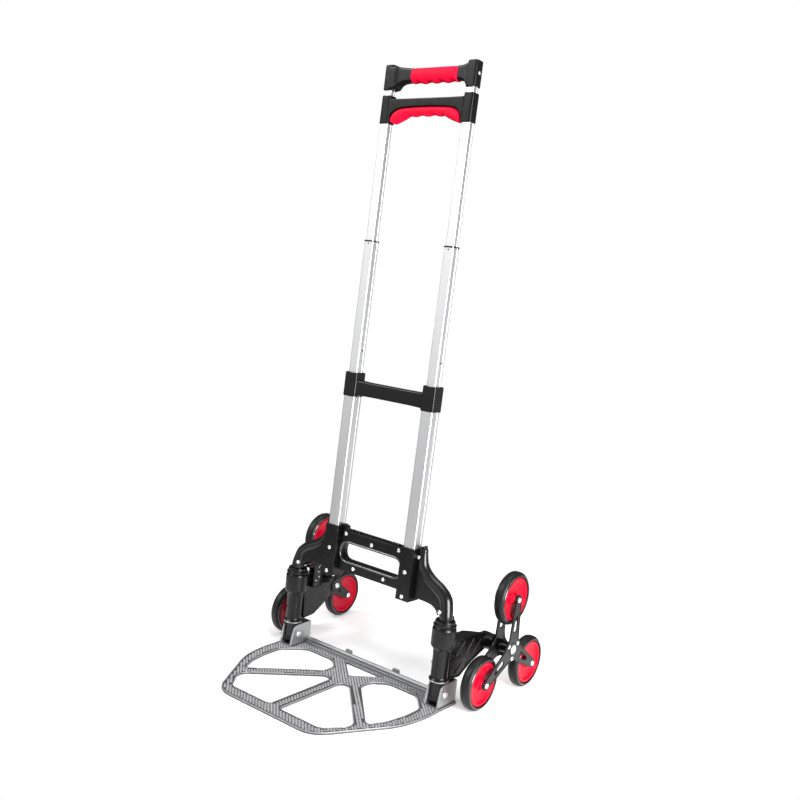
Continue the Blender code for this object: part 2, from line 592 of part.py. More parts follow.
def build_lower_handle():
    top = [(RAIL_X, 1.0405), (-RAIL_X, 1.0405)]
    under = [(-RAIL_X, 1.0000)] + arch(0.0775, 1.0000, 1.0262) + [(RAIL_X, 1.0000)]
    obj = add("lower_handle", prism(under + top, -0.0086, 0.0086, "XZ"), BLACK, "inner", True)
    for side, tag in ((-1, "left"), (1, "right")):
        ring = [(side * RAIL_X + u, v) for u, v in square_ring(SOCKET_SIZE, 0.0045)]
        cutter(obj, "lower_socket_" + tag, prism(ring, LOWER_BOTTOM, LOWER_TOP), "inner", True, "UNION")
    for side, tag in ((-1, "left"), (1, "right")):
        x = side * RAIL_X
        half = INNER_SIZE / 2 + GAP
        cutter(obj, "lower_bore_" + tag,
               box(x - half, x + half, -half, half, LOWER_BOTTOM - 0.01, LOWER_TOP + 0.01), "inner", True)
    outer = arch(0.0775 - 2 * GAP, 1.0000, 1.0262 - 2 * GAP)
    inner = []
    for k in range(17):
        t = 1 - k / 8
        x = 0.0680 * t
        wave = 0.0012 * math.cos(t * 3.5 * math.pi) if abs(t) < 0.75 else 0.0
        inner.append((x, 1.0125 + wave - 0.0105 * max(0.0, abs(t) - 0.55) ** 1.2 / 0.45 ** 1.2))
    bm = prism(outer + inner, -0.0110, 0.0110, "XZ")
    add("lower_grip", bm, RED, "inner", True)


def build_upper_handle():
    z = 1.0815
    core = [(-RAIL_X, z + 0.0085), (-RAIL_X, z - 0.0085), (RAIL_X, z - 0.0085), (RAIL_X, z + 0.0085)]
    obj = add("upper_handle", prism(core, -0.0070, 0.0070, "XZ"), BLACK, "top", True)
    for side, tag in ((-1, "left"), (1, "right")):
        ring = [(side * RAIL_X + u, v) for u, v in square_ring(SOCKET_SIZE, 0.0045)]
        cutter(obj, "upper_socket_" + tag, prism(ring, UPPER_BOTTOM, UPPER_TOP), "top", True, "UNION")
        start = GRIP_RIGHT if side > 0 else GRIP_LEFT
        wing = [(side * RAIL_X, 1.0970), (start + side * 0.0040, 1.0935), (start, 1.0935), (start, 1.0700),
                (start + side * 0.0060, 1.0695), (side * 0.0740, 1.0650), (side * RAIL_X, 1.0580)]
        cutter(obj, "upper_wing_" + tag, prism(wing, -0.0095, 0.0095, "XZ"), "top", True, "UNION")
    for side, tag in ((-1, "left"), (1, "right")):
        x = side * RAIL_X
        half = TOP_SIZE / 2 + GAP
        cutter(obj, "upper_bore_" + tag,
               box(x - half, x + half, -half, half, UPPER_BOTTOM - 0.01, TOP_TOP), "top", True)
    sections = []
    low, high = GRIP_LEFT + GAP, GRIP_RIGHT - GAP
    for k in range(15):
        t = k / 14
        x = low + (high - low) * t
        drop = 0.0142 + 0.0010 * math.cos(t * 8 * math.pi)
        ring = []
        for j in range(14):
            a = 2 * math.pi * j / 14
            height = 0.0122 if math.sin(a) > 0 else drop
            ring.append(Vector((x, 0.0128 * math.cos(a), z + 0.0005 + height * math.sin(a))))
        sections.append(ring)
    grip = add("upper_grip", loft(sections), RED, "top", True)
    pocket = [(low - 0.01, z + 0.0085 + GAP), (low - 0.01, z - 0.0085 - GAP), (high + 0.01, z - 0.0085 - GAP),
              (high + 0.01, z + 0.0085 + GAP)]
    cutter(grip, "upper_grip_bore", prism(pocket, -0.0070 - GAP, 0.0070 + GAP, "XZ"), "top", True)


def main():
    clear_scene()
    frame_at("frame", (0, 0, 0))
    frame_at("rails", (0, RAIL_FOOT_Y, 0), LEAN)
    frame_at("mid", (0, RAIL_FOOT_Y, 0), LEAN)
    frame_at("inner", (0, RAIL_FOOT_Y, 0), LEAN)
    frame_at("top", (0, RAIL_FOOT_Y, 0), LEAN)
    frame_at("plate", (0, HINGE_Y, HINGE_Z))
    for side, tag in ((-1, "left"), (1, "right")):
        frame_at("arm_" + tag, (side * POST_X, POST_Y, 0.10))
        frame_at("spider_" + tag, (side * WHEEL_INNER, HUB_Y, HUB_Z))
    build_frame()
    build_crossbar()
    build_plate()
    for side, tag in ((-1, "left"), (1, "right")):
        build_arm(side, tag)
        build_spider(side, tag)
    build_stages()
    build_lower_handle()
    build_upper_handle()


main()
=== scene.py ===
"""Looks of the folding stair climbing trolley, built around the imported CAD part."""
import json
from math import atan2, copysign, cos, pi, radians, sin, sqrt, tan

import bmesh
import bpy
from mathutils import Matrix, Vector


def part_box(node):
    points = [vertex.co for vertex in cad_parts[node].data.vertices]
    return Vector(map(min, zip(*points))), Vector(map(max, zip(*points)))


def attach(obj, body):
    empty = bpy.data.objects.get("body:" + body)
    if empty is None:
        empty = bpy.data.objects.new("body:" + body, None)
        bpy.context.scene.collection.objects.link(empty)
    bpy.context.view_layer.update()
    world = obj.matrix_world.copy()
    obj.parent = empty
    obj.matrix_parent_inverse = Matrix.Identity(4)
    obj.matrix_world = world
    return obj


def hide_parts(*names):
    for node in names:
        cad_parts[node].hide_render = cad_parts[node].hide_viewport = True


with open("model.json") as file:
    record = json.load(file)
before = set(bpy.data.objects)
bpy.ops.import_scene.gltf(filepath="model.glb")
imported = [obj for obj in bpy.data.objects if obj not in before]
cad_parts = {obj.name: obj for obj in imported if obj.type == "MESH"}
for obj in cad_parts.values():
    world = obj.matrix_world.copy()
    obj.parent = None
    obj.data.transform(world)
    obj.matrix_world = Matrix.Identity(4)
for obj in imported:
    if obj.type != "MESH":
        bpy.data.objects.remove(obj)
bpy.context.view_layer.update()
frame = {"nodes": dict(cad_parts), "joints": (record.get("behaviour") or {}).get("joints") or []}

JOINTS = {joint["name"]: joint for joint in frame["joints"]}
SIDES = ((1, "right"), (-1, "left"))
PLACES = ("top", "front", "rear")
GAP = 0.0003

# ---- frame facts
UP = Vector(JOINTS["mid_slide"]["axis"])
TILT = atan2(UP.y, UP.z)
RAIL = sum(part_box("outer_rail_right"), Vector()) / 2
RAIL_X = RAIL.x
LEAN = Matrix.Translation((0, RAIL.y - RAIL.z * tan(TILT), 0)) @ Matrix.Rotation(-TILT, 4, "X")
UNLEAN = LEAN.inverted()
HUB = Vector(JOINTS["cluster_spin_right"]["pos_m"])
WHEELS = {place: Vector(JOINTS[f"wheel_spin_{place}_right"]["pos_m"]) for place in PLACES}
HINGE = Vector(JOINTS["toe_fold"]["pos_m"])
POST = Vector(JOINTS["arm_fold_right"]["pos_m"])
TO_X = Matrix.Rotation(pi / 2, 4, "Y")
FROM_X = TO_X.inverted()
TO_FRONT = Matrix.Rotation(pi / 2, 4, "X")


def at(x, y, z, turned=None):
    move = Matrix.Translation((x, y, z))
    return move @ turned if turned is not None else move


HUB_AXIS = at(0, HUB.y, HUB.z, TO_X)
POST_AXIS = at(POST.x, POST.y, 0)


def leaning(node):
    """Lowest and highest corner of a CAD node in the rails' leaning frame."""
    points = [UNLEAN @ v.co for v in frame["nodes"][node].data.vertices]
    return [Vector([pick(p[i] for p in points) for i in range(3)]) for pick in (min, max)]


def mm(value):
    """Millimetres to metres, through nested rows."""
    return tuple(mm(v) for v in value) if isinstance(value, tuple) else value / 1000


# ---- outlines
def rounded(points, radius, steps=5):
    """Round the corners of a 2-D outline; radius may be one value per corner."""
    out = []
    for i, point in enumerate(points):
        size = radius[i] if isinstance(radius, (list, tuple)) else radius
        here = Vector(point)
        before = Vector(points[i - 1]) - here
        after = Vector(points[(i + 1) % len(points)]) - here
        size = min(size, before.length * 0.49, after.length * 0.49)
        if size < 1e-5:
            out.append(tuple(here))
            continue
        start = here + before.normalized() * size
        end = here + after.normalized() * size
        for k in range(steps + 1):
            t = k / steps
            out.append(tuple(start * (1 - t) ** 2 + here * 2 * t * (1 - t) + end * t * t))
    return out


def rect(x0, x1, y0, y1):
    return [(x0, y0), (x1, y0), (x1, y1), (x0, y1)]


def area(points):
    return 0.5 * sum(a[0] * b[1] - b[0] * a[1] for a, b in zip(points, points[1:] + points[:1]))


def inset(points, distance):
    """Move a closed outline inwards by a distance."""
    turn = 1 if area(points) > 0 else -1
    out = []
    for i, point in enumerate(points):
        here = Vector(point)
        a = (here - Vector(points[i - 1])).normalized()
        b = (Vector(points[(i + 1) % len(points)]) - here).normalized()
        normal = Vector((-a.y - b.y, a.x + b.x)).normalized() * turn
        spread = max(0.5, normal.dot(Vector((-a.y, a.x)) * turn))
        out.append(tuple(here + normal * distance / spread))
    return out


def smooth_path(points, per_span=6):
    """Catmull-Rom curve through the given points."""
    out = []
    ends = [points[0] * 2 - points[1]] + list(points) + [points[-1] * 2 - points[-2]]
    for i in range(1, len(ends) - 2):
        p0, p1, p2, p3 = ends[i - 1:i + 3]
        for k in range(per_span):
            t = k / per_span
            out.append(0.5 * (2 * p1 + (p2 - p0) * t + (2 * p0 - 5 * p1 + 4 * p2 - p3) * t ** 2
                              + (3 * p1 - p0 - 3 * p2 + p3) * t ** 3))
    out.append(points[-1].copy())
    return out


def circle(count):
    return [(cos(2 * pi * k / count), sin(2 * pi * k / count)) for k in range(count)]


# ---- meshes
def skin(bm, rings, close=False):
    """Join rings of points into a surface; close joins the last to the first."""
    rows = [[bm.verts.new(p) for p in ring] for ring in rings]
    count = len(rows[0])
    for a, b in list(zip(rows, rows[1:])) + ([(rows[-1], rows[0])] if close else []):
        for i in range(count):
            j = (i + 1) % count
            bm.faces.new((a[i], a[j], b[j], b[i]))
    if not close:
        bm.faces.new(rows[0][::-1])
        bm.faces.new(rows[-1])


def turn(bm, profile, place, steps=40, close=False):
    """Spin (radius, along) about the local Z of a placing matrix."""
    skin(bm, [[place @ Vector((r * c, r * s, z)) for c, s in circle(steps)] for r, z in profile], close)


def sleeve(bm, profile, x, corner, steps=4, inner=0.002):
    """Rings of rounded squares about a leaning axis; rows are (half, height, inner?)."""
    skin(bm, [[Vector((x + u, v, height)) for u, v in
               rounded(rect(-half, half, -half, half), inner if inside else min(corner, half * 0.9), steps)]
              for half, height, inside in profile], close=True)


def slab(bm, outline, holes, low, high, bevel=0.0006, plane="XZ", steps=2):
    """A plate with rounded edges and holes, between two depths of a plane."""
    curve = bpy.data.curves.new("slab", "CURVE")
    curve.dimensions = "2D"
    curve.fill_mode = "BOTH"
    curve.extrude = max(0, (high - low) / 2 - bevel)
    curve.bevel_depth = bevel
    curve.bevel_resolution = steps
    curve.offset = -bevel
    for loop in [outline, *holes]:
        spline = curve.splines.new("POLY")
        spline.points.add(len(loop) - 1)
        for point, (a, b) in zip(spline.points, loop):
            point.co = (a, b, 0, 1)
        spline.use_cyclic_u = True
    holder = new_object("slab", curve)
    bpy.context.view_layer.update()
    mesh = bpy.data.meshes.new_from_object(holder.evaluated_get(bpy.context.evaluated_depsgraph_get()))
    bpy.data.objects.remove(holder)
    bpy.data.curves.remove(curve)
    mid = (low + high) / 2
    place = {"XY": lambda c: (c.x, c.y, c.z + mid),
             "XZ": lambda c: (c.x, c.z + mid, c.y),
             "YZ": lambda c: (c.z + mid, c.x, c.y)}[plane]
    for vert in mesh.vertices:
        vert.co = place(vert.co)
    part = bmesh.new()
    part.from_mesh(mesh)
    bpy.data.meshes.remove(mesh)
    bmesh.ops.remove_doubles(part, verts=part.verts, dist=1e-6)
    join(bm, part)


def new_object(name, data):
    obj = bpy.data.objects.new(name, data)
    bpy.context.scene.collection.objects.link(obj)
    return obj


def join(bm, part, mirrored=False):
    """Move one bmesh into another, and with mirrored a mirror image of it too."""
    copy = part.copy() if mirrored else None
    mesh = bpy.data.meshes.new("join")
    part.to_mesh(mesh)
    part.free()
    bm.from_mesh(mesh)
    bpy.data.meshes.remove(mesh)
    if mirrored:
        flip(copy)
        join(bm, copy)


def tube(bm, path, radii, sides):
    """A round bar along a path that stays close to the XZ plane."""
    rings = []
    for i, point in enumerate(path):
        ahead = path[min(i + 1, len(path) - 1)] - path[max(i - 1, 0)]
        across = ahead.cross(Vector((0, 1, 0))).normalized()
        other = across.cross(ahead).normalized()
        rings.append([point + (across * c + other * s) * radii[i] for c, s in circle(sides)])
    skin(bm, rings)


def bead(bm, loop, depth, radius):
    """A closed round bead along a 2-D loop."""
    rings = []
    for i, point in enumerate(loop):
        ahead = (Vector(loop[(i + 1) % len(loop)]) - Vector(loop[i - 1])).normalized()
        across = Vector((-ahead.y, ahead.x))
        ring = [(Vector(point) + across * c * radius, depth + s * radius) for c, s in circle(10)]
        rings.append([Vector((flat.x, deep, flat.y)) for flat, deep in ring])
    skin(bm, rings, close=True)


def dome(bm, place, radius, height, steps=20, sink=0.0006):
    """A rivet or button head on a surface, along the local Z."""
    profile = [(radius * 0.98, -sink), (radius, 0), (radius, height * 0.25)]
    for k in range(1, 6):
        a = radians(90 * k / 5.4)
        profile.append((radius * cos(a), height * (0.25 + 0.75 * sin(a))))
    turn(bm, profile, place, steps)


# ---- pieces
def piece(name, bm, look, body, nodes=(), slot=None, lean=False, smooth=34.0, even=True):
    """Turn a bmesh into a named piece that rides on a CAD body."""
    bmesh.ops.recalc_face_normals(bm, faces=bm.faces)
    mesh = bpy.data.meshes.new(name)
    bm.to_mesh(mesh)
    bm.free()
    mesh.materials.append(LOOKS[look])
    mesh.shade_smooth()
    mesh.set_sharp_from_angle(angle=radians(smooth))
    obj = new_object(name, mesh)
    if lean:
        obj.matrix_world = LEAN
    if even:
        weights = obj.modifiers.new("even_normals", "WEIGHTED_NORMAL")
        weights.keep_sharp = True
    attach(obj, body)
    if nodes:
        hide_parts(*nodes)
    return obj


def flip(bm):
    bmesh.ops.scale(bm, vec=(-1, 1, 1), verts=bm.verts)


def pair(name, build, look, body, nodes=(), slot=None, **kind):
    """The same piece on the right and, mirrored, on the left."""
    for side, tag in SIDES:
        bm = bmesh.new()
        build(bm)
        if side < 0:
            flip(bm)
        piece(name + tag, bm, look, body.format(tag), [n.format(tag) for n in nodes], slot, **kind)


# ---- materials
def add_node(tree, kind, values, out=0, **settings):
    """Add a shader node; values hold numbers for its sockets, or outputs to link."""
    node = tree.nodes.new("ShaderNode" + kind)
    for key, value in settings.items():
        setattr(node, key, value)
    for key, value in values.items():
        if isinstance(value, bpy.types.NodeSocket):
            tree.links.new(value, node.inputs[key])
        else:
            node.inputs[key].default_value = value
    return node.outputs[out]


def map_range(tree, value, low, high, first, last, **settings):
    return add_node(tree, "MapRange", {"Value": value, "From Min": low, "From Max": high, "To Min": first,
                                       "To Max": last}, **settings)


def two_tone(tree, value, low, high, start=0.0, end=1.0):
    """A colour ramp between two colours."""
    node = tree.nodes.new("ShaderNodeValToRGB")
    for element, position, colour in zip(node.color_ramp.elements, (start, end), (low, high)):
        element.position, element.color = position, (*colour, 1)
    tree.links.new(value, node.inputs["Fac"])
    return node.outputs["Color"]


def look(name, colour, rough, metal=0.0, vary=0.1, patch=60.0, grain=1500.0, bump=0.00002,
         streak=(1, 1, 1), rough_vary=0.06, **sockets):
    """A procedural finish: patchy tone, fine grain in the bump, and a varied gloss."""
    mat = bpy.data.materials.new(name)
    mat.use_nodes = True
    tree = mat.node_tree
    shader = tree.nodes["Principled BSDF"]
    shader.inputs["Metallic"].default_value = metal
    for key, value in sockets.items():
        shader.inputs[key.replace("_", " ").title().replace("Ior", "IOR")].default_value = value
    coords = add_node(tree, "TexCoord", {}, "Object")

    def noise(scale, detail):
        moved = add_node(tree, "Mapping", {"Vector": coords, "Scale": streak})
        return add_node(tree, "TexNoise", {"Vector": moved, "Scale": scale, "Detail": detail,
                                           "Roughness": 0.55}, "Fac")

    wide, fine = noise(patch, 4.0), noise(grain, 3.0)
    tone = two_tone(tree, wide, [c * (1 - vary) for c in colour],
                    [min(1.0, c * (1 + vary)) for c in colour], 0.34, 0.66)
    gloss = add_node(tree, "Math", {
        0: map_range(tree, wide, 0.3, 0.7, rough - rough_vary, rough + rough_vary),
        1: map_range(tree, fine, 0.3, 0.7, -rough_vary / 3, rough_vary / 3)}, operation="ADD")
    relief = add_node(tree, "Bump", {"Height": fine, "Strength": 1.0, "Distance": bump})
    for output, socket in ((tone, "Base Color"), (gloss, "Roughness"), (relief, "Normal")):
        tree.links.new(output, shader.inputs[socket])
    return mat


def grey(value, step=0.005):
    """A slightly cool grey."""
    return value, value + step, value + 2 * step


TUBE_GRAIN = (0.02, 300, 1400, 0.000003, (1, 1, 0.02), 0.02)
LOOKS = {
    "rail": look("rail_aluminium", grey(0.76), 0.34, 0.97, *TUBE_GRAIN),
    "mid_tube": look("mid_tube_aluminium", grey(0.84), 0.34, 0.95, *TUBE_GRAIN),
    "inner_tube": look("inner_tube_aluminium", grey(0.9), 0.32, 0.95, *TUBE_GRAIN),
    "bracket": look("bracket_aluminium", grey(0.4), 0.36, 0.9, 0.06, 120, 900, 0.00001, (1, 0.15, 1)),
    "bar": look("rear_bar_aluminium", grey(0.28), 0.46, 0.9, 0.06, 120, 900, 0.00001, (0.15, 1, 1)),
    # painted shade: the plate is coloured dark so the ground between the studs looks like shaded grooves
    "plate": look("cast_plate", (0.13, 0.13, 0.134), 0.52, 0.7, 0.22, 90, 700, 0.00008),
    # wear and painted highlight: the stud tops are coloured much lighter than the plate, partly worn metal and
    # partly a painted highlight on their lit tops
    "stud": look("plate_stud", (0.47, 0.47, 0.48), 0.38, 0.7, 0.2, 260, 900, 0.00004),
    "edge": look("plate_edge", (0.33, 0.33, 0.335), 0.38, 0.8, 0.1, 120, 900, 0.00003),
    "steel": look("dark_steel", (0.022, 0.022, 0.022), 0.36, 0.3, 0.1, 140, 1100, 0.00002,
                  specular_ior_level=0.3),
    "bolt": look("zinc_bolt", grey(0.86), 0.26, 0.8, 0.05, 500, 1800, 0.00001),
    "metal": look("black_painted_metal", (0.002, 0.002, 0.0023), 0.3, 0, 0.1, 90, 500, 0.000004,
                  rough_vary=0.03, specular_ior_level=0.3, coat_weight=0.45, coat_roughness=0.2),
    "gloss": look("black_gloss_edge", (0.003, 0.003, 0.0033), 0.2, 0, 0.1, 90, 500, 0.000005,
                  specular_ior_level=0.9, coat_weight=1.0, coat_roughness=0.12),
    "plastic": look("black_plastic", (0.002, 0.002, 0.0023), 0.29, 0, 0.12, 110, 2300, 0.000007,
                    specular_ior_level=0.33),
    "grip_black": look("black_handle_plastic", (0.003, 0.003, 0.0034), 0.3, 0, 0.12, 110, 2300, 0.00001,
                       specular_ior_level=0.26),
    "red_hub": look("red_gloss_plastic", (0.4, 0.001, 0.017), 0.3, 0, 0.04, 80, 700, 0.00001,
                    specular_ior_level=0.12),
    "red_grip": look("red_soft_grip", (0.98, 0.002, 0.04), 0.55, 0, 0.03, 120, 2600, 0.00004,
                     specular_ior_level=0.12),
    "tyre": look("tyre_rubber", (0.004, 0.004, 0.0043), 0.42, 0, 0.14, 130, 1700, 0.00003,
                 specular_ior_level=0.3),
}


# ---- telescopic rails
CHANNEL = 0.00045


def rail_outline(half, corner, depth):
    """A rounded square with a shallow channel along its two side faces."""
    out = []
    for k, (sx, sy) in enumerate(((1, -1), (1, 1), (-1, 1), (-1, -1))):
        cx, cy = sx * (half - corner), sy * (half - corner)
        out += [(cx + corner * cos(a), cy + corner * sin(a))
                for a in (radians(90 * k - 90 + 18 * i) for i in range(6))]
        if k in (0, 2):
            side, width = 1 - k, half * 0.42
            for along, deep in ((-width - 0.0005, 0), (-width, depth), (width, depth), (width + 0.0005, 0)):
                out.append((side * (half - deep), side * along))
    return out


def build_rail(node, look_name, body, wall=0.0016):
    def build(bm):
        low, high = leaning(node + "right")
        half = (high.x - low.x) / 2
        outer = rail_outline(half, half * 0.26, CHANNEL)
        lip = rail_outline(half - 0.0003, half * 0.26, CHANNEL)
        inner = rail_outline(half - wall, half * 0.12, 0)
        rows = [(inner, low.z), (outer, low.z), (outer, high.z - 0.0003), (lip, high.z), (inner, high.z)]
        skin(bm, [[Vector((RAIL_X + u, v, z)) for u, v in loop] for loop, z in rows], close=True)
    pair(node.replace("_rail_", "_").replace("_tube_", "_") + "tube_form_", build, look_name, body,
         [node + "{}"], "rail_aluminium", lean=True)


build_rail("outer_rail_", "rail", "base")
build_rail("mid_tube_", "mid_tube", "mid_stage", 0.0012)
build_rail("inner_tube_", "inner_tube", "inner_stage", 0.001)
build_rail("top_tube_", "inner_tube", "top_stage", 0.001)


def mid_buttons(bm):
    low, high = leaning("mid_tube_right")
    half = (high.x - low.x) / 2
    button = low.z + (high.z - low.z) * 0.335
    for turned, x in ((TO_X, RAIL_X + half - 0.00045), (FROM_X, RAIL_X - half + 0.00045)):
        dome(bm, at(x, 0, button, turned), 0.0019, 0.0005, 16)
    dome(bm, at(RAIL_X, -half, high.z - 0.0046, TO_FRONT), 0.0015, 0.00025, 16)


pair("spring_button_", mid_buttons, "metal", "mid_stage", slot="bolt_steel", lean=True)


def tube_collar(bm):
    low, high = leaning("tube_collar_right")
    half = (high.x - low.x) / 2
    mid = leaning("mid_tube_right")[1]
    mouth = leaning("inner_tube_right")[1].x - RAIL_X + GAP
    skirt, top = mid.x - RAIL_X + 0.0001, mid.z + 0.0001
    sleeve(bm, [(skirt, low.z, 1), (half, low.z, 0), (half, high.z - 0.0006, 0), (half - 0.0006, high.z, 0),
                (mouth, high.z, 1), (mouth, top, 1), (skirt, top, 1)], RAIL_X, 0.0032)


pair("collar_form_", tube_collar, "plastic", "mid_stage", ["tube_collar_{}"], "black_plastic", lean=True)


# ---- crossbar
def build_crossbar():
    low, high = leaning("crossbar")
    half = high.x - RAIL_X
    rail = leaning("outer_rail_right")
    bore = rail[1].x - RAIL_X + GAP
    mouth = leaning("mid_tube_right")[1].x - RAIL_X + GAP
    bm = bmesh.new()
    for side in (1, -1):
        sleeve(bm, [(bore, low.z + 0.0006, 1), (bore + 0.0006, low.z, 0), (half - 0.001, low.z, 0),
                    (half - 0.0003, low.z + 0.0004, 0), (half, low.z + 0.0012, 0),
                    (half, high.z - 0.0016, 0), (half - 0.0004, high.z - 0.0006, 0), (half - 0.0014, high.z, 0),
                    (mouth + 0.0005, high.z, 1), (mouth, high.z - 0.0005, 1),
                    (mouth, rail[1].z + GAP, 1), (bore, rail[1].z + GAP, 1)],
               side * RAIL_X, 0.0042, 6)
    span = RAIL_X - half + 0.0012
    rings = []
    for k in range(25):
        t = -1 + 2 * k / 24
        flare = 0.0012 * abs(t) ** 6
        rings.append([Vector((span * t, u, v)) for u, v in
                      rounded(rect(-0.0096 - flare, 0.0096 + flare, low.z + 0.004 - flare,
                                   low.z + 0.03 + flare), 0.0034, 5)])
    skin(bm, rings)
    piece("crossbar_form", bm, "plastic", "base", ["crossbar"], "black_plastic", lean=True)


build_crossbar()

# ---- base frame
LEG_DEPTH = 0.008
LEG_KNOTS = mm(((109.2, 261, 0), (109.4, 249, 0), (113.2, 231, 0), (127.8, 214, 0), (149.7, 203, -0.5),
                (164.2, 193, -1.5), (172.2, 180, -3.5)))
SLOT = rounded(rect(-0.07, 0.07, 0.201, 0.235), 0.0165, 9)
FRONT, SPLIT = (corner.y for corner in leaning("frame_front_shell"))
REAR = leaning("frame_rear_shell")[1].y
FACE = -0.003
BEAM_LOW, BEAM_TOP = 0.1815, 0.257
BOX_LOW, BOX_TOP = 0.169, 0.264
BOX_BORE, BOX_HALF = 0.0124, 0.0145
BEAM = rect(-RAIL_X + 0.012, RAIL_X - 0.012, BEAM_LOW, BEAM_TOP)


def leg_line(per_span):
    return smooth_path([Vector((x, LEG_DEPTH + d, s)) for x, s, d in LEG_KNOTS], per_span)


def web_outline():
    web = [(RAIL_X, 0.257), (0.099, 0.263), (0.102, 0.266), (0.106, 0.2682), (0.1085, 0.2683)]
    web += [(p.x, p.z) for p in leg_line(4) if p.z < 0.26]
    return web + [(0.1745, 0.164), (0.159, 0.164), (0.1555, 0.1687), (0.1492, 0.1734), (0.1424, 0.1759),
                  (0.1314, 0.1771), (0.1178, 0.1776), (0.102, 0.1745), (RAIL_X, 0.1745)]


def rail_box(part, shape, near, far):
    """The square box about a rail: its walls, and a floor plate at the bottom."""
    slab(part, [(RAIL_X + u, v) for u, v in shape], [], BOX_LOW, BOX_TOP, 0.0007, "XY")
    slab(part, rounded(rect(RAIL_X - 0.0143, RAIL_X + 0.0143, near, far), 0.001),
         [], BOX_LOW + 0.0004, BOX_LOW + 0.0026, 0.0004, "XY")


def build_front_shell():
    bm = bmesh.new()
    slab(bm, BEAM, [SLOT], FACE, SPLIT, 0.001)
    lip = bmesh.new()
    bead(lip, inset(SLOT, -0.0016), FACE + 0.0004, 0.0021)
    piece("frame_slot_lip", lip, "gloss", "base", slot="black_plastic", lean=True, smooth=60)
    part = bmesh.new()
    slab(part, web_outline(), [], FACE, SPLIT, 0.0008)
    outer = rounded([(-BOX_HALF, SPLIT), (-BOX_HALF, FRONT), (BOX_HALF, FRONT), (BOX_HALF, SPLIT)],
                    [0, 0.003, 0.001, 0], 6)
    rail_box(part, outer + [(BOX_BORE, SPLIT), (BOX_BORE, -BOX_BORE), (-BOX_BORE, -BOX_BORE),
                            (-BOX_BORE, SPLIT)], FRONT + 0.0004, SPLIT)
    join(bm, part, mirrored=True)
    tab = rounded(mm(((-77.5, 254), (-56.5, 254), (-58.5, 266.5), (-75.5, 268))),
                  [0, 0, 0.002, 0.002], 3)
    slab(bm, tab, [], FACE + 0.0008, SPLIT, 0.0006)
    for x in (-0.05, -0.0395, -0.0335, 0.044, 0.05, 0.056):
        foot_print = rounded(rect(x, x + 0.0042, FACE + 0.0004, SPLIT - 0.0004), 0.0006, 2)
        skin(bm, [[Vector((u, v, s)) for u, v in inset(foot_print, trim)]
                  for s, trim in ((0.2555, 0), (0.2612, 0), (0.2619, 0.0005))])
    piece("frame_front_form", bm, "plastic", "base", ["frame_front_shell"], "black_plastic", lean=True)


def build_rear_shell():
    """The back half: a floor with a rim, ribs and screw bosses, as moulded parts have."""
    near, floor, wall = SPLIT + GAP, SPLIT + 0.0075, 0.0022
    bm = bmesh.new()
    slab(bm, BEAM, [SLOT], near, floor, 0.0006)
    slab(bm, BEAM, [inset(BEAM, wall)], near, REAR, 0.0006)
    slab(bm, inset(SLOT, -wall), [SLOT], near, REAR, 0.0006)
    for x in (-0.056, -0.028, 0, 0.028, 0.056):
        for bottom, top in ((0.2365, BEAM_TOP - 0.001), (BEAM_LOW + 0.001, 0.1995)):
            slab(bm, rect(x - 0.0008, x + 0.0008, bottom, top), [], near, REAR - 0.002, 0.0004)
    part = bmesh.new()
    web = web_outline()
    slab(part, web, [], near, floor, 0.0006)
    slab(part, web, [inset(web, wall)], near, REAR, 0.0006)
    for start, end in mm((((104, 250), (120, 190)), ((104, 190), (132, 214)), ((126, 186), (150, 202)),
                          ((104, 222), (124, 222)))):
        a, b = Vector(start), Vector(end)
        side = Vector((-(b - a).y, (b - a).x)).normalized() * 0.0008
        slab(part, [tuple(p) for p in (a + side, a - side, b - side, b + side)], [], near, REAR - 0.003, 0.0004)
    outer = rounded([(-BOX_HALF, near), (BOX_HALF, near), (BOX_HALF, REAR), (-BOX_HALF, REAR)],
                    [0, 0, 0.003, 0.003], 6)
    rail_box(part, [(-BOX_HALF, near), (-BOX_BORE, near), (-BOX_BORE, BOX_BORE), (BOX_BORE, BOX_BORE),
                    (BOX_BORE, near)] + outer[1:], near, REAR - 0.0004)
    for x, s in ((0.062, 0.248), (0.0355, 0.1905), (0.126, 0.201)):
        turn(part, [(0.0036, floor - 0.001), (0.0036, REAR - 0.0012), (0.0032, REAR - 0.0006),
                    (0.0018, REAR - 0.0006), (0.0016, REAR - 0.004)], at(x, 0, s, TO_FRONT.inverted()), 20)
    join(bm, part, mirrored=True)
    piece("frame_rear_form", bm, "plastic", "base", ["frame_rear_shell"], "black_plastic", lean=True)


build_front_shell()
build_rear_shell()


def leg(bm):
    path = [LEAN @ p for p in leg_line(7)]
    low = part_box("leg_tube_right")[0]
    for z in (0.172, 0.163, 0.155, 0.1466):
        path.append(Vector((POST.x, POST.y, z)))
    line = smooth_path(path[::4] + [path[-1]], 5)
    radii = [0.012 - 0.005 * max(0, min(1.0, (p.z - 0.215) / 0.045)) for p in line]
    head, up, wide = line[0].copy(), (line[0] - line[1]).normalized(), radii[0]
    for angle in range(15, 91, 15):
        a = radians(min(angle, 82))
        line.insert(0, head + up * 0.007 * sin(a))
        radii.insert(0, wide * cos(a))
    tube(bm, line, radii, 36)
    turn(bm, [(0.0092, low.z), (0.0092, 0.15)], POST_AXIS, 32)


pair("leg_form_", leg, "metal", "base", ["leg_tube_{}"], "black_metal")


def leg_collar(bm):
    low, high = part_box("leg_collar_right")
    bore, outer = 0.0123, (high.x - low.x) / 2
    foot_rows = mm(((0.8, 0), (0, 0.8), (0, 2.6), (0.7, 3.4), (2.6, 4.2), (3.1, 5.2), (2.6, 6)))
    top_rows = mm(((2.6, 1.6), (3.4, 0.4), (4.6, 0)))
    turn(bm, [(bore, low.z)] + [(outer - u, low.z + v) for u, v in foot_rows]
         + [(outer - u, high.z - v) for u, v in top_rows] + [(bore + 0.0008, high.z), (bore, high.z - 0.0008)],
         POST_AXIS, 48, close=True)


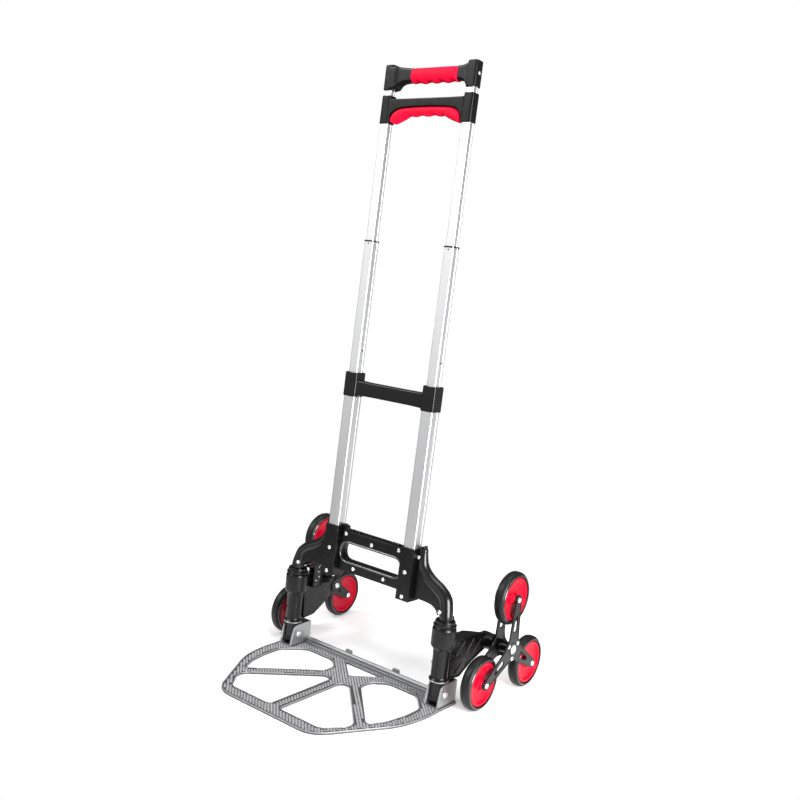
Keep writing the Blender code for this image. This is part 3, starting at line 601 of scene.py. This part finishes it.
pair("leg_collar_form_", leg_collar, "plastic", "base", ["leg_collar_{}"], "black_plastic")


def frame_rivets():
    bm = bmesh.new()
    for x, s, front in ((RAIL_X, 0.22, FRONT), (RAIL_X, 0.176, FRONT), (0.1056, 0.2502, FACE),
                        (0.167, 0.17, LEG_DEPTH - 0.0162), (0.062, 0.251, FACE), (0.0355, 0.1905, FACE)):
        for sign in (1, -1):
            dome(bm, at(sign * x, front, s, TO_FRONT), 0.0036, 0.0018, 24, 0.003)
    dome(bm, at(0, FACE, 0.2445, TO_FRONT), 0.0036, 0.0018, 24, 0.0012)
    piece("frame_rivets", bm, "bolt", "base", slot="bolt_steel", lean=True)


frame_rivets()


# ---- feet and brackets
def washer(bm):
    low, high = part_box("post_washer_right")
    outer = (high.x - low.x) / 2 + 0.0006
    a, b = low.z, low.z + 0.002
    turn(bm, [(0.0094, a), (outer - 0.0005, a), (outer, a + 0.0005), (outer, b - 0.0005), (outer - 0.0005, b),
              (0.0094, b)], POST_AXIS, 48, close=True)


pair("post_washer_form_", washer, "bracket", "base", ["post_washer_{}"], "bolt_steel")


def foot(bm):
    low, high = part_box("foot_block_right")
    y, z = HINGE.y, HINGE.z
    arc = [(y + 0.0193 * cos(a), z + 0.0193 * sin(a)) for a in map(radians, range(222, 319, 6))]
    shape = [(low.y, high.z), *arc, (high.y, high.z)]
    slab(bm, shape, [], low.x, high.x, 0.001, "YZ")
    window = rounded(rect(low.x + 0.0044, high.x - 0.0044, z - 0.006, high.z - 0.004), 0.0012, 3)
    slab(bm, rounded(rect(low.x + 0.0008, high.x - 0.0008, z - 0.01, high.z - 0.001), 0.0015, 3), [window],
         low.y - 0.0018, low.y + 0.002, 0.0005, "XZ")


pair("foot_block_form_", foot, "plastic", "base", ["foot_block_{}"], "black_plastic")


def bracket(bm):
    low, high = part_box("toe_bracket_right")
    wall = 0.0026
    shape = rounded([(low.y, low.z), (high.y, low.z), (high.y, high.z), (-0.011, high.z - 0.0015)],
                    [0, 0, 0.004, 0.006], 5)
    hole = [(HINGE.y + 0.0035 * c, HINGE.z + 0.0035 * s) for c, s in circle(24)]
    foot_point, top = Vector((-0.019, low.z)), Vector((-0.011, high.z - 0.0015))
    lip = (top - foot_point).normalized()
    side, top = Vector((lip.y, -lip.x)) * 0.0009, top - lip * 0.004
    edge = [tuple(p) for p in (foot_point - side, foot_point + side * 2, top + side * 2, top - side)]
    for x in (low.x, high.x - wall):
        slab(bm, shape, [hole], x, x + wall, 0.0005, "YZ")
        slab(bm, edge, [], x - 0.0006, x + wall + 0.0006, 0.0005, "YZ")
    slab(bm, rounded(rect(low.x + 0.001, high.x - 0.001, low.z, high.z - 0.001), 0.002, 3), [],
         high.y - wall, high.y, 0.0005, "XZ")
    slab(bm, rect(low.x - 0.0005, high.x + 0.0005, low.y - 0.001, high.y), [rect(
        low.x + wall + 0.0012, high.x - wall - 0.0012, low.y - 0.0005, high.y - wall - 0.0012)],
        low.z - 0.0002, low.z + 0.0016, 0.0005, "XY")


pair("toe_bracket_form_", bracket, "bracket", "toe", ["toe_bracket_{}"], "bracket_aluminium")


def hinge_pin(bm):
    low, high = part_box("toe_hinge_pin_right")
    for end, way in ((high.x - 0.0026, TO_X), (low.x + 0.0026, FROM_X)):
        dome(bm, at(end, HINGE.y, HINGE.z, way), 0.0056, 0.0024, 28, 0.003)
    turn(bm, [(0.0033, low.x + 0.002), (0.0033, high.x - 0.002)], at(0, HINGE.y, HINGE.z, TO_X), 20)


pair("hinge_pin_form_", hinge_pin, "bolt", "toe", ["toe_hinge_pin_{}"], "bolt_steel")


# ---- toe plate
def plate_loops():
    low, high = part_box("toe_plate")
    wide, front, back = high.x, low.y, high.y
    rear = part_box("toe_rear_bar")[0].y - GAP
    half = [(0, front), (0.108, front), (0.183, -0.118), (wide, -0.064),
            (wide, back), (0.156, back), (0.156, rear)]
    corner = [0, 0.03, 0.04, 0.02, 0.003, 0, 0]
    outline = rounded(half + [(-x, y) for x, y in reversed(half[1:])], corner + corner[:0:-1], 8)
    side = mm(((44, -50.5), (143, -156), (160, -118), (166.5, -78), (166.5, -40), (132, 0), (68, 0), (43, -24)))
    nose = mm(((11, -224), (102, -224), (130, -186), (128, -169), (27, -62), (11, -70)))
    holes = [rounded([(-0.045, 0.012), (0, -0.033), (0.045, 0.012)], 0.006, 4)]
    for sign in (1, -1):
        holes.append(rounded([(sign * x, y) for x, y in side], 0.01, 7))
        holes.append(rounded([(sign * x, y) for x, y in nose], 0.009, 7))
    return outline, holes


def inside(point, loop):
    hit = False
    x, y = point
    for (x0, y0), (x1, y1) in zip(loop, loop[1:] + loop[:1]):
        if (y0 > y) != (y1 > y) and x < x0 + (y - y0) / (y1 - y0) * (x1 - x0):
            hit = not hit
    return hit


def clear_of(point, loop, distance):
    here = Vector(point)
    for a, b in zip(loop, loop[1:] + loop[:1]):
        p, q = Vector(a), Vector(b)
        line = q - p
        t = 0.0 if line.length_squared < 1e-12 else max(0, min(1.0, (here - p).dot(line) / line.length_squared))
        if (here - p - line * t).length < distance:
            return False
    return True


def build_plate():
    low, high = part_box("toe_plate")
    outline, holes = plate_loops()
    base = high.z - 0.0007
    bm = bmesh.new()
    # the plate's top between the studs is dark from the painted groove shade in its colour
    slab(bm, outline, holes, low.z, base, 0.0006, "XY")
    piece("toe_plate_form", bm, "plate", "toe", ["toe_plate"], "cast_plate")

    rim = bmesh.new()
    slab(rim, outline, [inset(outline, 0.0022)], low.z + 0.0006, high.z, 0.0005, "XY")
    for hole in holes:
        slab(rim, inset(hole, -0.0018), [hole], low.z + 0.0006, high.z, 0.0005, "XY")
    piece("toe_plate_rims", rim, "edge", "toe", slot="cast_plate")

    studs = bmesh.new()
    pitch, size = 0.005, 0.0019
    boxes = [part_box("toe_bracket_right"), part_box("toe_bracket_left")]
    levels = ((size * 1.25, base - 0.0002), (size * 0.86, high.z - 0.0002), (size * 0.66, high.z))
    reach = int(0.34 / pitch)
    for i in range(-reach, reach + 1):
        for j in range(-reach, reach + 1):
            x = (i - j) * pitch / sqrt(2)
            y = (i + j) * pitch / sqrt(2) - 0.11
            if not (low.x < x < high.x and low.y < y < high.y) or not inside((x, y), outline):
                continue
            if any(inside((x, y), hole) for hole in holes):
                continue
            if not all(clear_of((x, y), loop, 0.0042) for loop in [outline, *holes]):
                continue
            if any(a.x - 0.002 < x < b.x + 0.002 and a.y - 0.002 < y < b.y for a, b in boxes):
                continue
            skin(studs, [[Vector((x + half * u, y + half * v, z))
                          for u, v in ((1.3, 0), (0, 1.3), (-1.3, 0), (0, -1.3))] for half, z in levels])
    # the studs take the lighter stud colour, which holds wear and a painted highlight
    piece("toe_plate_studs", studs, "stud", "toe", slot="cast_plate", smooth=25, even=False)


build_plate()


def build_rear_bar():
    low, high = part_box("toe_rear_bar")
    a, b = low.y, high.y
    shape = rounded([(a, 0), (b, 0), (b, 0.0112), (b - 0.003, 0.0128), (b - 0.0052, 0.012),
                     (b - 0.0068, 0.0092), (a + 0.0048, 0.0082), (a + 0.003, 0.0094), (a, 0.0086)],
                    [0.0006, 0.001, 0.002, 0.002, 0.002, 0.002, 0.001, 0.0015, 0.0012], 4)
    bm = bmesh.new()
    rings = [[Vector((x, u, v)) for u, v in shape] for x in (low.x, high.x)]
    skin(bm, rings)
    for sign in (1, -1):
        lug = rounded(rect(sign * 0.057 - 0.008, sign * 0.057 + 0.008, 0.01, 0.0185), 0.004, 5)
        slab(bm, lug, [], b - 0.0032, b, 0.0007, "XZ")
        turn(bm, [(0.0022, -0.0006), (0.0022, 0.0004), (0.0014, 0.001)],
             at(sign * 0.057, b - 0.003, 0.0145, TO_FRONT), 16)
    piece("toe_rear_bar_form", bm, "bar", "toe", ["toe_rear_bar"], "bracket_aluminium")


build_rear_bar()


# ---- pivot barrel and arm
def rib(bm, start, end, width, face, height):
    """A low rib with sloping flanks on the arm's outer side."""
    a, b = Vector(start), Vector(end)
    along = (b - a).normalized()
    side = Vector((-along.y, along.x))
    rings = []
    for half, trim, x in ((width, 0, face - 0.0004), (width, 0, face), (width * 0.22, 0.0006, face + height)):
        p, q = a + along * trim, b - along * trim
        rings.append([Vector((x, c.x, c.y)) for c in (p + side * half, p - side * half, q - side * half,
                                                      q + side * half)])
    skin(bm, rings)


def arm(bm):
    z0, z1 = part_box("post_washer_right")[1].z + 0.0019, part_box("leg_collar_right")[0].z - 0.0006
    bore = 0.0096
    foot_rows = mm(((17, 0), (17.6, 0.6), (17.6, 2), (17, 2.8), (15.6, 4), (15.1, 5.6), (15, 9)))
    waist = mm(((15, 96), (15.5, 96.8), (15.7, 104), (16.6, 106.4), (20, 109.8), (21, 111.8), (21.2, 114.2)))
    crown = mm(((21.2, 5), (20.8, 3.4), (19.7, 1.2), (18.6, 0)))
    turn(bm, [(bore, z0)] + [(u, z0 + v) for u, v in foot_rows] + list(waist)
         + [(u, z1 - v) for u, v in crown] + [(bore, z1)], POST_AXIS, 56, close=True)
    for angle in (-62, 22):
        a = radians(angle - 90)
        spin = Matrix.Rotation(a, 4, "Z") @ TO_X
        dome(bm, at(POST.x, POST.y, 0.079) @ spin @ Matrix.Translation((0, 0, 0.0147)), 0.0022, 0.0014, 16)
    shape = rounded(mm(((7.5, 106), (11, 120), (90, 114), (123.4, 109), (133, 99), (133, 85), (123.4, 79),
                        (80, 80), (40, 56), (11, 53.5))),
                    0.004, 3)
    core = bmesh.new()
    slab(core, shape, [], 0.161, 0.1848, 0.0009, "YZ")
    cut = bmesh.ops.bisect_plane(core, geom=core.verts[:] + core.edges[:] + core.faces[:],
                                 plane_co=(0.1618, 0.078, 0), plane_no=Vector((-0.024, 0.017, 0)).normalized(),
                                 clear_outer=True)
    bmesh.ops.holes_fill(core, edges=[e for e in cut["geom_cut"] if isinstance(e, bmesh.types.BMEdge)])
    join(bm, core)
    skirt = rounded(mm(((8, 106), (11.5, 119.8), (90, 113.8), (123.4, 109), (133, 99), (133, 85), (124, 79.5),
                        (80, 65), (43, 45.8), (11.5, 49))),
                    0.003, 3)
    slab(bm, skirt, [], 0.1791, 0.1852, 0.0006, "YZ")
    slab(bm, skirt, [inset(skirt, 0.0026)], 0.183, 0.1866, 0.0005, "YZ")
    for start, end in mm((((26, 83.5), (53, 108.5)), ((59, 82.5), (81, 105.5)), ((60, 61), (70, 71)), ((78, 74),
                          (108, 101)), ((13, 93), (27, 85)), ((10, 79), (27, 85)), ((28, 54), (48, 72)),
                          ((21, 113), (33, 111.8)))):
        rib(bm, start, end, 0.0016, 0.1852, 0.0009)
    turn(bm, mm(((6, 176.8), (14.6, 176.8), (15.2, 177.4), (15.6, 180), (15.6, 188.8), (15, 189.6), (15, 204),
                 (14.3, 205), (12, 205.4), (11.8, 208.6), (11.2, 209), (5.4, 209))), HUB_AXIS, 48)
    lug = rounded(mm(((18.5, 117), (43, 115), (43, 148), (36, 158.8), (24, 162.8), (2, 163.2), (2, 159.6),
                      (18.5, 158.5))),
                  [0, 0, 0.004, 0.004, 0.003, 0.002, 0.001, 0.001], 3)
    slab(bm, lug, [], 0.1512, 0.1604, 0.001, "YZ")
    slab(bm, rounded(rect(0.019, 0.0425, 0.1165, 0.15), 0.002, 3), [], 0.156, 0.1632, 0.0008, "YZ")
    slab(bm, lug, [inset(lug, 0.0022)], 0.1502, 0.1516, 0.0005, "YZ")
    for start, end in mm((((22.5, 119), (33, 133)), ((38.5, 121), (33, 133)), ((22.5, 142), (33, 133)))):
        rib(bm, start, end, 0.0014, 0.1511, -0.0008)


pair("wheel_arm_form_", arm, "plastic", "arm_{}", ["wheel_arm_{}"], "black_plastic")


def hub_bolt(bm):
    low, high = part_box("hub_axle_right")
    a = high.x - 0.0022
    turn(bm, [(0.005, low.x), (0.005, high.x - 0.002)], HUB_AXIS, 28)
    turn(bm, [(0.0066, a), (0.007, a + 0.0004), (0.007, a + 0.0014), (0.006, high.x)], HUB_AXIS, 6)
    turn(bm, [(0.0082, a - 0.0002), (0.0082, a + 0.0004), (0.007, a + 0.0006)], HUB_AXIS, 32)


def inner_bolts(bm):
    """The hub bolt's head and the lug screws on the arm's inner side."""
    place = at(0.1768, HUB.y, HUB.z, FROM_X)
    turn(bm, [(0.0055, -0.0004), (0.0055, 0.0006), (0.005, 0.001)], place, 32)
    dome(bm, place @ Matrix.Translation((0, 0, 0.001)), 0.0045, 0.0026, 28)
    for y, z in mm(((31, 147), (34, 136), (27, 130), (33, 157))):
        dome(bm, at(0.1512, y, z, FROM_X), 0.0014, 0.0008, 16)


pair("arm_bolts_", inner_bolts, "bolt", "arm_{}", slot="bolt_steel")
pair("hub_axle_form_", hub_bolt, "bolt", "arm_{}", ["hub_axle_{}"], "bolt_steel")

# ---- wheel clusters
CLUSTER = (WHEELS["top"] - HUB).length
HUB_POINT = Vector((HUB.y, HUB.z))
SPOKES = [(Vector((cos(a), sin(a))), Vector((sin(a), -cos(a)))) for a in map(radians, (90, 210, 330))]


def spider_loop():
    half = [(0.017, 0.015, 0.01), (CLUSTER - 0.004, 0.0088, 0.002), (CLUSTER + 0.0086, 0.006, 0.004)]
    leg_rows = half + [(along, -offset, radius) for along, offset, radius in reversed(half)]
    points = [tuple(HUB_POINT + ahead * along + across * offset)
              for ahead, across in SPOKES for along, offset, radius in leg_rows]
    return rounded(points, [radius * 1.2 for along, offset, radius in leg_rows] * 3, 5)


def spider_slots():
    return [rounded([tuple(HUB_POINT + ahead * d + across * w) for d, w in
                     mm(((32.5, 6.2), (64, 3.4), (64, -3.4), (32.5, -6.2)))], 0.0044, 5)
            for ahead, across in SPOKES]


def spider_plate(node, inner):
    def build(bm):
        low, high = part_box(node + "right")
        loop, slots = spider_loop(), spider_slots()
        slab(bm, loop, slots, low.x, high.x, 0.0006, "YZ")
        face, sign = (low.x, -1) if inner else (high.x, 1)
        lip = sorted((face - sign * 0.001, face + sign * 0.0009))
        slab(bm, loop, [inset(loop, 0.0014)], lip[0], lip[1], 0.0004, "YZ")
        for slot in slots:
            lip = sorted((face - sign * 0.001, face + sign * 0.0004))
            slab(bm, inset(slot, -0.0012), [slot], lip[0], lip[1], 0.0003, "YZ")
        turn(bm, [(0.013, face - 0.001 * sign), (0.013, face + 0.0004 * sign), (0.0122, face + 0.0008 * sign),
                  (0.0064, face + 0.0008 * sign)], HUB_AXIS, 40)
    return build


pair("spider_outer_form_", spider_plate("spider_outer_", False), "steel", "spider_{}",
     ["spider_outer_{}"], "dark_steel")
pair("spider_inner_form_", spider_plate("spider_inner_", True), "plastic", "spider_{}",
     ["spider_inner_{}"], "dark_steel")


def spider_rivets(bm):
    outer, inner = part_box("spider_outer_right")[1].x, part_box("spider_inner_right")[0].x
    for k in range(3):
        a = radians(30 + 120 * k)
        y, z = HUB.y + 0.0172 * cos(a), HUB.z + 0.0172 * sin(a)
        dome(bm, at(outer, y, z, TO_X), 0.0042, 0.0016, 24, 0.002)
        dome(bm, at(inner, y, z, FROM_X), 0.0042, 0.0016, 24, 0.002)


pair("spider_rivets_", spider_rivets, "bolt", "spider_{}", slot="bolt_steel")


def hub_sleeve(bm):
    low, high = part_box("hub_sleeve_right")
    r, bore = (high.y - low.y) / 2, 0.0056
    rim = mm(((0.4, 0), (0, 0.4), (0, 6), (1, 7)))
    turn(bm, [(bore, low.x)] + [(r - u, low.x + v) for u, v in rim]
         + [(r - u, high.x - v) for u, v in reversed(rim)] + [(bore, high.x)], HUB_AXIS, 40, close=True)


pair("hub_sleeve_form_", hub_sleeve, "plastic", "spider_{}", ["hub_sleeve_{}"], "dark_steel")


def ring_of(bm, side, mid, place):
    """Spin the profile of one side together with its mirror image."""
    profile = side + [(p, -q) for p, q in reversed(side)]
    turn(bm, [(p, mid + q) for p, q in profile], place, 72, close=True)


def tyre(bm, place, low, high):
    half, mid = (high.x - low.x) / 2, (low.x + high.x) / 2
    r, inner = (high.z - low.z) / 2, 0.0397
    wall = mm(((0, 1.4), (0.6, 0.4), (1.4, 0), (2.2, 0.2), (2.8, 1), (3.6, 1.3)))
    tread = mm(((3.6, 1.9), (2, 2.9), (0.8, 4.6), (0.2, 6.6)))
    ring_of(bm, [(inner + u, half - v) for u, v in wall] + [(r - u, half - v) for u, v in tread]
            + [(r, half * 0.3)], mid, place)


def tyre_bead(bm, place, low, high):
    """The glossy ridge on both side walls, next to the rim."""
    for mid in (high.x - 0.0013, low.x + 0.0013):
        turn(bm, [(0.0424 + 0.0011 * c, mid + 0.0011 * s) for c, s in circle(10)], place, 72, close=True)


def hub_disc(bm, place, low, high):
    mid, face = (low.x + high.x) / 2, (high.x - low.x) / 2 + 0.0002
    dish = mm(((4.5, 0), (8.8, 0), (9.4, 0.6), (9.8, 3), (11.6, 5.2), (15, 6.2), (22, 5.8), (29, 4.4),
               (31.8, 3.6), (33, 2.6), (33.6, 1), (34.6, 0.3), (37.6, 0.1), (38.8, 0.8), (39.4, 1.8)))
    ring_of(bm, [(u, face - v) for u, v in dish], mid, place)


def axle_bolt(bm, place, low, high):
    turn(bm, [(0.0042, low.x + 0.002), (0.0042, high.x - 0.002)], place, 24)
    dome(bm, place @ Matrix.Translation((0, 0, high.x - 0.0033)), 0.005, 0.0031, 28, 0.0004)
    bottom = place @ Matrix.Translation((0, 0, low.x + 0.0037)) @ Matrix.Rotation(pi, 4, "X")
    turn(bm, mm(((5, 0), (5.4, 0.4), (5.4, 3), (4.6, 3.7))), bottom, 6)


for spot in PLACES:
    hub = at(0, WHEELS[spot].y, WHEELS[spot].z, TO_X)
    for part_name, maker, shade, rides, label in (
            ("tyre_", tyre, "tyre", "wheel_{}_{{}}", "tyre"),
            ("rim_", hub_disc, "red_hub", "wheel_{}_{{}}", "red_hub"),
            ("tyre_bead_", tyre_bead, "gloss", "wheel_{}_{{}}", "tyre"),
            ("axle_bolt_", axle_bolt, "bolt", "spider_{{}}", "bolt_steel")):
        node_name = f"{part_name}{spot}_".replace("_bead_", "_")
        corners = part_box(node_name + "right")
        pair(f"{part_name}{spot}_form_", lambda bm, m=maker, c=corners, h=hub: m(bm, h, *c),
             shade, rides.format(spot), [] if maker is tyre_bead else [node_name + "{}"], label)


# ---- handles
def socket(bm, side, low, high, half, bore, closed):
    """A rounded square sleeve; the closed one has a crowned top."""
    rows = [(bore, low, 1), (half - 0.0009, low, 0), (half - 0.0002, low + 0.0004, 0), (half, low + 0.0011, 0),
            (half, high - 0.0016, 0), (half - 0.0004, high - 0.0007, 0), (half - 0.0013, high, 0)]
    if closed:
        rows += [(half * 0.5, high, 0), (half * 0.2, high, 0), (half * 0.2, high - 0.0008, 1),
                 (bore, high - 0.002, 1)]
    else:
        rows += [(bore + 0.0004, high, 1), (bore, high - 0.0004, 1)]
    sleeve(bm, rows, side * RAIL_X, 0.005, 6)


def build_lower_handle():
    low, high = leaning("lower_handle")
    half = high.x - RAIL_X
    bore = leaning("inner_tube_right")[1].x - RAIL_X + 0.0001
    bm = bmesh.new()
    for side in (1, -1):
        socket(bm, side, low.z, high.z, half, bore, False)
    under = mm(((77.5, 1000), (76.8, 1007), (73.5, 1014.5), (68, 1019.6), (60, 1022.8), (48, 1024.8),
                (30, 1025.8), (0, 1026.2)))
    arch = [(-x, s) for x, s in under] + [(x, s) for x, s in reversed(under[:-1])]
    edge = RAIL_X - half + 0.003
    outline = [(-edge, 1.0)] + arch + [(edge, 1.0), (edge, 1.0418), (0.076, 1.0409), (0.05, 1.0405),
                                          (-0.05, 1.0405), (-0.076, 1.0409), (-edge, 1.0418)]
    slab(bm, outline, [], -0.0104, 0.0104, 0.0018, "XZ", 4)
    piece("lower_handle_form", bm, "grip_black", "inner_stage", ["lower_handle"], "black_plastic", lean=True)

    grip = bmesh.new()
    top = [Vector(p) for p in mm(((-76.8, 1003), (-74.5, 1012), (-70, 1017.8), (-62, 1022.2), (-50, 1024.6),
                                  (-30, 1025.7), (0, 1026.2)))]
    top += [Vector((-p.x, p.y)) for p in reversed(top[:-1])]
    bottom = [Vector(p) for p in mm(((-69, 998.5), (-60, 1001.5), (-52, 1004.5), (-44, 1008), (-36, 1011.2),
                                     (-20, 1011.8), (0, 1012)))]
    bottom += [Vector((-p.x, p.y)) for p in reversed(bottom[:-1])]
    upper, lower = smooth_path(top, 8), smooth_path(bottom, 8)
    rings = []
    count = len(upper)
    for i, (u, l) in enumerate(zip(upper, lower)):
        t = -1 + 2 * i / (count - 1)
        end = (1 - abs(t) ** 14) ** 0.5
        wave = 0.0011 * cos(l.x / 0.0262 * 2 * pi) * max(0, 1 - (abs(l.x) / 0.05) ** 6)
        l = l - Vector((0, wave))
        mid, arm_v = (u + l) / 2, (u - l) / 2
        depth = 0.0088 + 0.002 * end
        ring = []
        for ca, sa in circle(24):
            along = copysign(abs(ca) ** 0.72, ca)
            deep = copysign(abs(sa) ** 0.72, sa) * depth
            flat = mid + arm_v * along * (0.86 + 0.14 * end)
            ring.append(Vector((flat.x, deep, flat.y)))
        rings.append(ring)
    skin(grip, rings)
    piece("lower_grip_form", grip, "red_grip", "inner_stage", ["lower_grip"], "red_grip", lean=True, smooth=60)


def build_upper_handle():
    low, high = leaning("upper_handle")
    half = high.x - RAIL_X
    bore = leaning("top_tube_right")[1].x - RAIL_X + 0.0001
    grip_low, grip_high = leaning("upper_grip")
    bm = bmesh.new()
    for side in (1, -1):
        socket(bm, side, low.z, high.z, half, bore, True)
    right = mm(((62, 1069.7, 1093.5, 8.8), (68, 1068.8, 1094, 9), (72.5, 1066.8, 1095, 9.2),
                (76, 1063.4, 1096.2, 9.4), (79, 1059.6, 1097.2, 9.5), (86, 1058, 1097.6, 9.5)))
    left = mm(((-44, 1069.8, 1093.7, 8.7), (-52, 1069.4, 1094.6, 8.9), (-59, 1068.2, 1095.4, 9.1),
               (-64, 1066.2, 1096.1, 9.2), (-68, 1063.2, 1096.7, 9.6), (-71.2, 1059.6, 1097.2, 10.3),
               (-76, 1057.8, 1097.7, 11), (-86, 1057.6, 1097.7, 11.2)))
    for start, rows in ((grip_high.x - 0.002, right), (grip_low.x + 0.002, left)):
        wing = [(start, 1.07, 1.0932, 0.0086), *rows]
        line = smooth_path([Vector(p) for p in wing], 4)
        skin(bm, [[Vector((p[0], u, v)) for u, v in rounded(rect(-p[3], p[3], p[1], p[2]), 0.004, 6)]
                  for p in line])
    piece("upper_handle_form", bm, "grip_black", "top_stage", ["upper_handle"], "black_plastic", lean=True,
          smooth=50)

    grip = bmesh.new()
    a, b = grip_low.x, grip_high.x
    mid = (grip_low.z + grip_high.z) / 2
    rings = []
    for k in range(61):
        t = k / 60
        x = a + (b - a) * t
        end = (1 - abs(2 * t - 1) ** 24) ** 0.5
        wave = 0.0011 * cos(t * 8 * pi)
        ring = []
        for ca, sa in circle(32):
            deep = copysign(abs(ca) ** 0.75, ca) * 0.0126
            tall = copysign(abs(sa) ** 0.75, sa) * (0.0121 if sa > 0 else 0.0132 + wave)
            scale = 0.8 + 0.2 * end
            ring.append(Vector((x, deep * scale, mid + 0.0008 + tall * scale)))
        rings.append(ring)
    skin(grip, rings)
    piece("upper_grip_form", grip, "red_grip", "top_stage", ["upper_grip"], "red_grip", lean=True, smooth=60)


build_lower_handle()
build_upper_handle()


def handle_pin(bm):
    low, high = leaning("upper_handle")
    dome(bm, at(high.x, 0, (low.z + high.z) / 2 + 0.001, TO_X), 0.003, 0.0008, 24)


pair("handle_pin_", handle_pin, "bolt", "top_stage", slot="bolt_steel", lean=True)


# ---- studio
def backdrop():
    mat = bpy.data.materials.new("studio_floor")
    mat.use_nodes = True
    tree = mat.node_tree
    inputs = tree.nodes["Principled BSDF"].inputs
    for key, value in (("Roughness", 0.8), ("Specular IOR Level", 0.1), ("Emission Color", (1, 1, 1, 1)),
                       ("Emission Strength", 0.22)):
        inputs[key].default_value = value
    patches = add_node(tree, "TexNoise", {"Scale": 3.0}, "Fac")
    tree.links.new(two_tone(tree, patches, (0.9, 0.9, 0.9), (0.93, 0.93, 0.93)), inputs["Base Color"])
    mesh = bpy.data.meshes.new("studio_floor")
    bm = bmesh.new()
    bm.faces.new([bm.verts.new((0.6 * c, 0.6 * s, 0)) for c, s in circle(64)])
    bm.to_mesh(mesh)
    bm.free()
    mesh.materials.append(mat)
    floor = new_object("studio_floor", mesh)
    floor.location = (0, 0, -0.0002)


def world_light():
    """A grey studio room with a broad bright wall at the right and behind."""
    world = bpy.data.worlds.new("studio")
    bpy.context.scene.world = world
    world.use_nodes = True
    tree = world.node_tree
    toward_point = add_node(tree, "TexCoord", {}, "Generated")
    height = add_node(tree, "SeparateXYZ", {"Vector": toward_point}, "Z")

    def lobe(toward, low, high, strength):
        dot = add_node(tree, "VectorMath", {0: toward_point, 1: Vector(toward).normalized()}, "Value",
                       operation="DOT_PRODUCT")
        return map_range(tree, dot, low, high, 0, strength, interpolation_type="SMOOTHSTEP")

    def math_node(operation, a, b):
        return add_node(tree, "Math", {0: a, 1: b}, operation=operation)

    def banded(lobe_of, below, above, first, last):
        return math_node("MULTIPLY", lobe_of, map_range(tree, height, below, above, first, last))

    room = banded(lobe((-0.42, -0.9, 0), 0.6, 0.93, 0.95), -0.25, 0.05, 0.24, 1.0)
    side = banded(lobe((0.6, 0.8, -0.1), 0.6, 0.95, 0.95), -0.25, 0.12, 0.76, 0.14)
    for more in (side, lobe((0, 0, 1), 0.2, 1.0, 0.3), 0.09):
        room = math_node("ADD", room, more)
    seen = add_node(tree, "LightPath", {}, "Is Camera Ray")
    background = tree.nodes["Background"]
    tree.links.new(map_range(tree, seen, 0, 1.0, room, 1.0), background.inputs["Strength"])
    background.inputs["Color"].default_value = (1, 1, 1, 1)


def soft_light(name, place, aim, size, watts):
    data = bpy.data.lights.new(name, "AREA")
    data.shape = "RECTANGLE"
    data.size, data.size_y = size
    data.energy = watts
    obj = new_object(name, data)
    obj.location = place
    obj.rotation_mode = "QUATERNION"
    obj.rotation_quaternion = (Vector(aim) - Vector(place)).to_track_quat("-Z", "Y")
    obj.visible_camera = False


def camera():
    data = bpy.data.cameras.new("camera")
    data.lens, data.sensor_width = 42.7295, 36.0
    data.clip_start, data.clip_end = 0.05, 30.0
    obj = new_object("camera", data)
    az, el, roll = (radians(v) for v in (36.72079, 6.84463, 6.19619))
    back = Vector((sin(az) * cos(el), -cos(az) * cos(el), sin(el)))
    right = Vector((cos(az), sin(az), 0))
    up = back.cross(right)
    side = right * cos(roll) + up * sin(roll)
    top = up * cos(roll) - right * sin(roll)
    place = Matrix((side, top, back)).transposed().to_4x4()
    place.translation = (1.021237, -1.337025, 0.715289)
    obj.matrix_world = place
    bpy.context.scene.camera = obj


backdrop()
world_light()
soft_light("key_right", (1.87, -0.47, 0.72), (0, 0, 0.42), (1.0, 1.4), 90)
soft_light("fill_left", (-1.5, -1.5, 2.4), (0, 0, 0.4), (1.0, 1.0), 44)
soft_light("top", (0.1, 0.3, 2.6), (0, 0, 0), (1.6, 1.6), 22)
camera()
bpy.context.scene.view_settings.view_transform = "Standard"
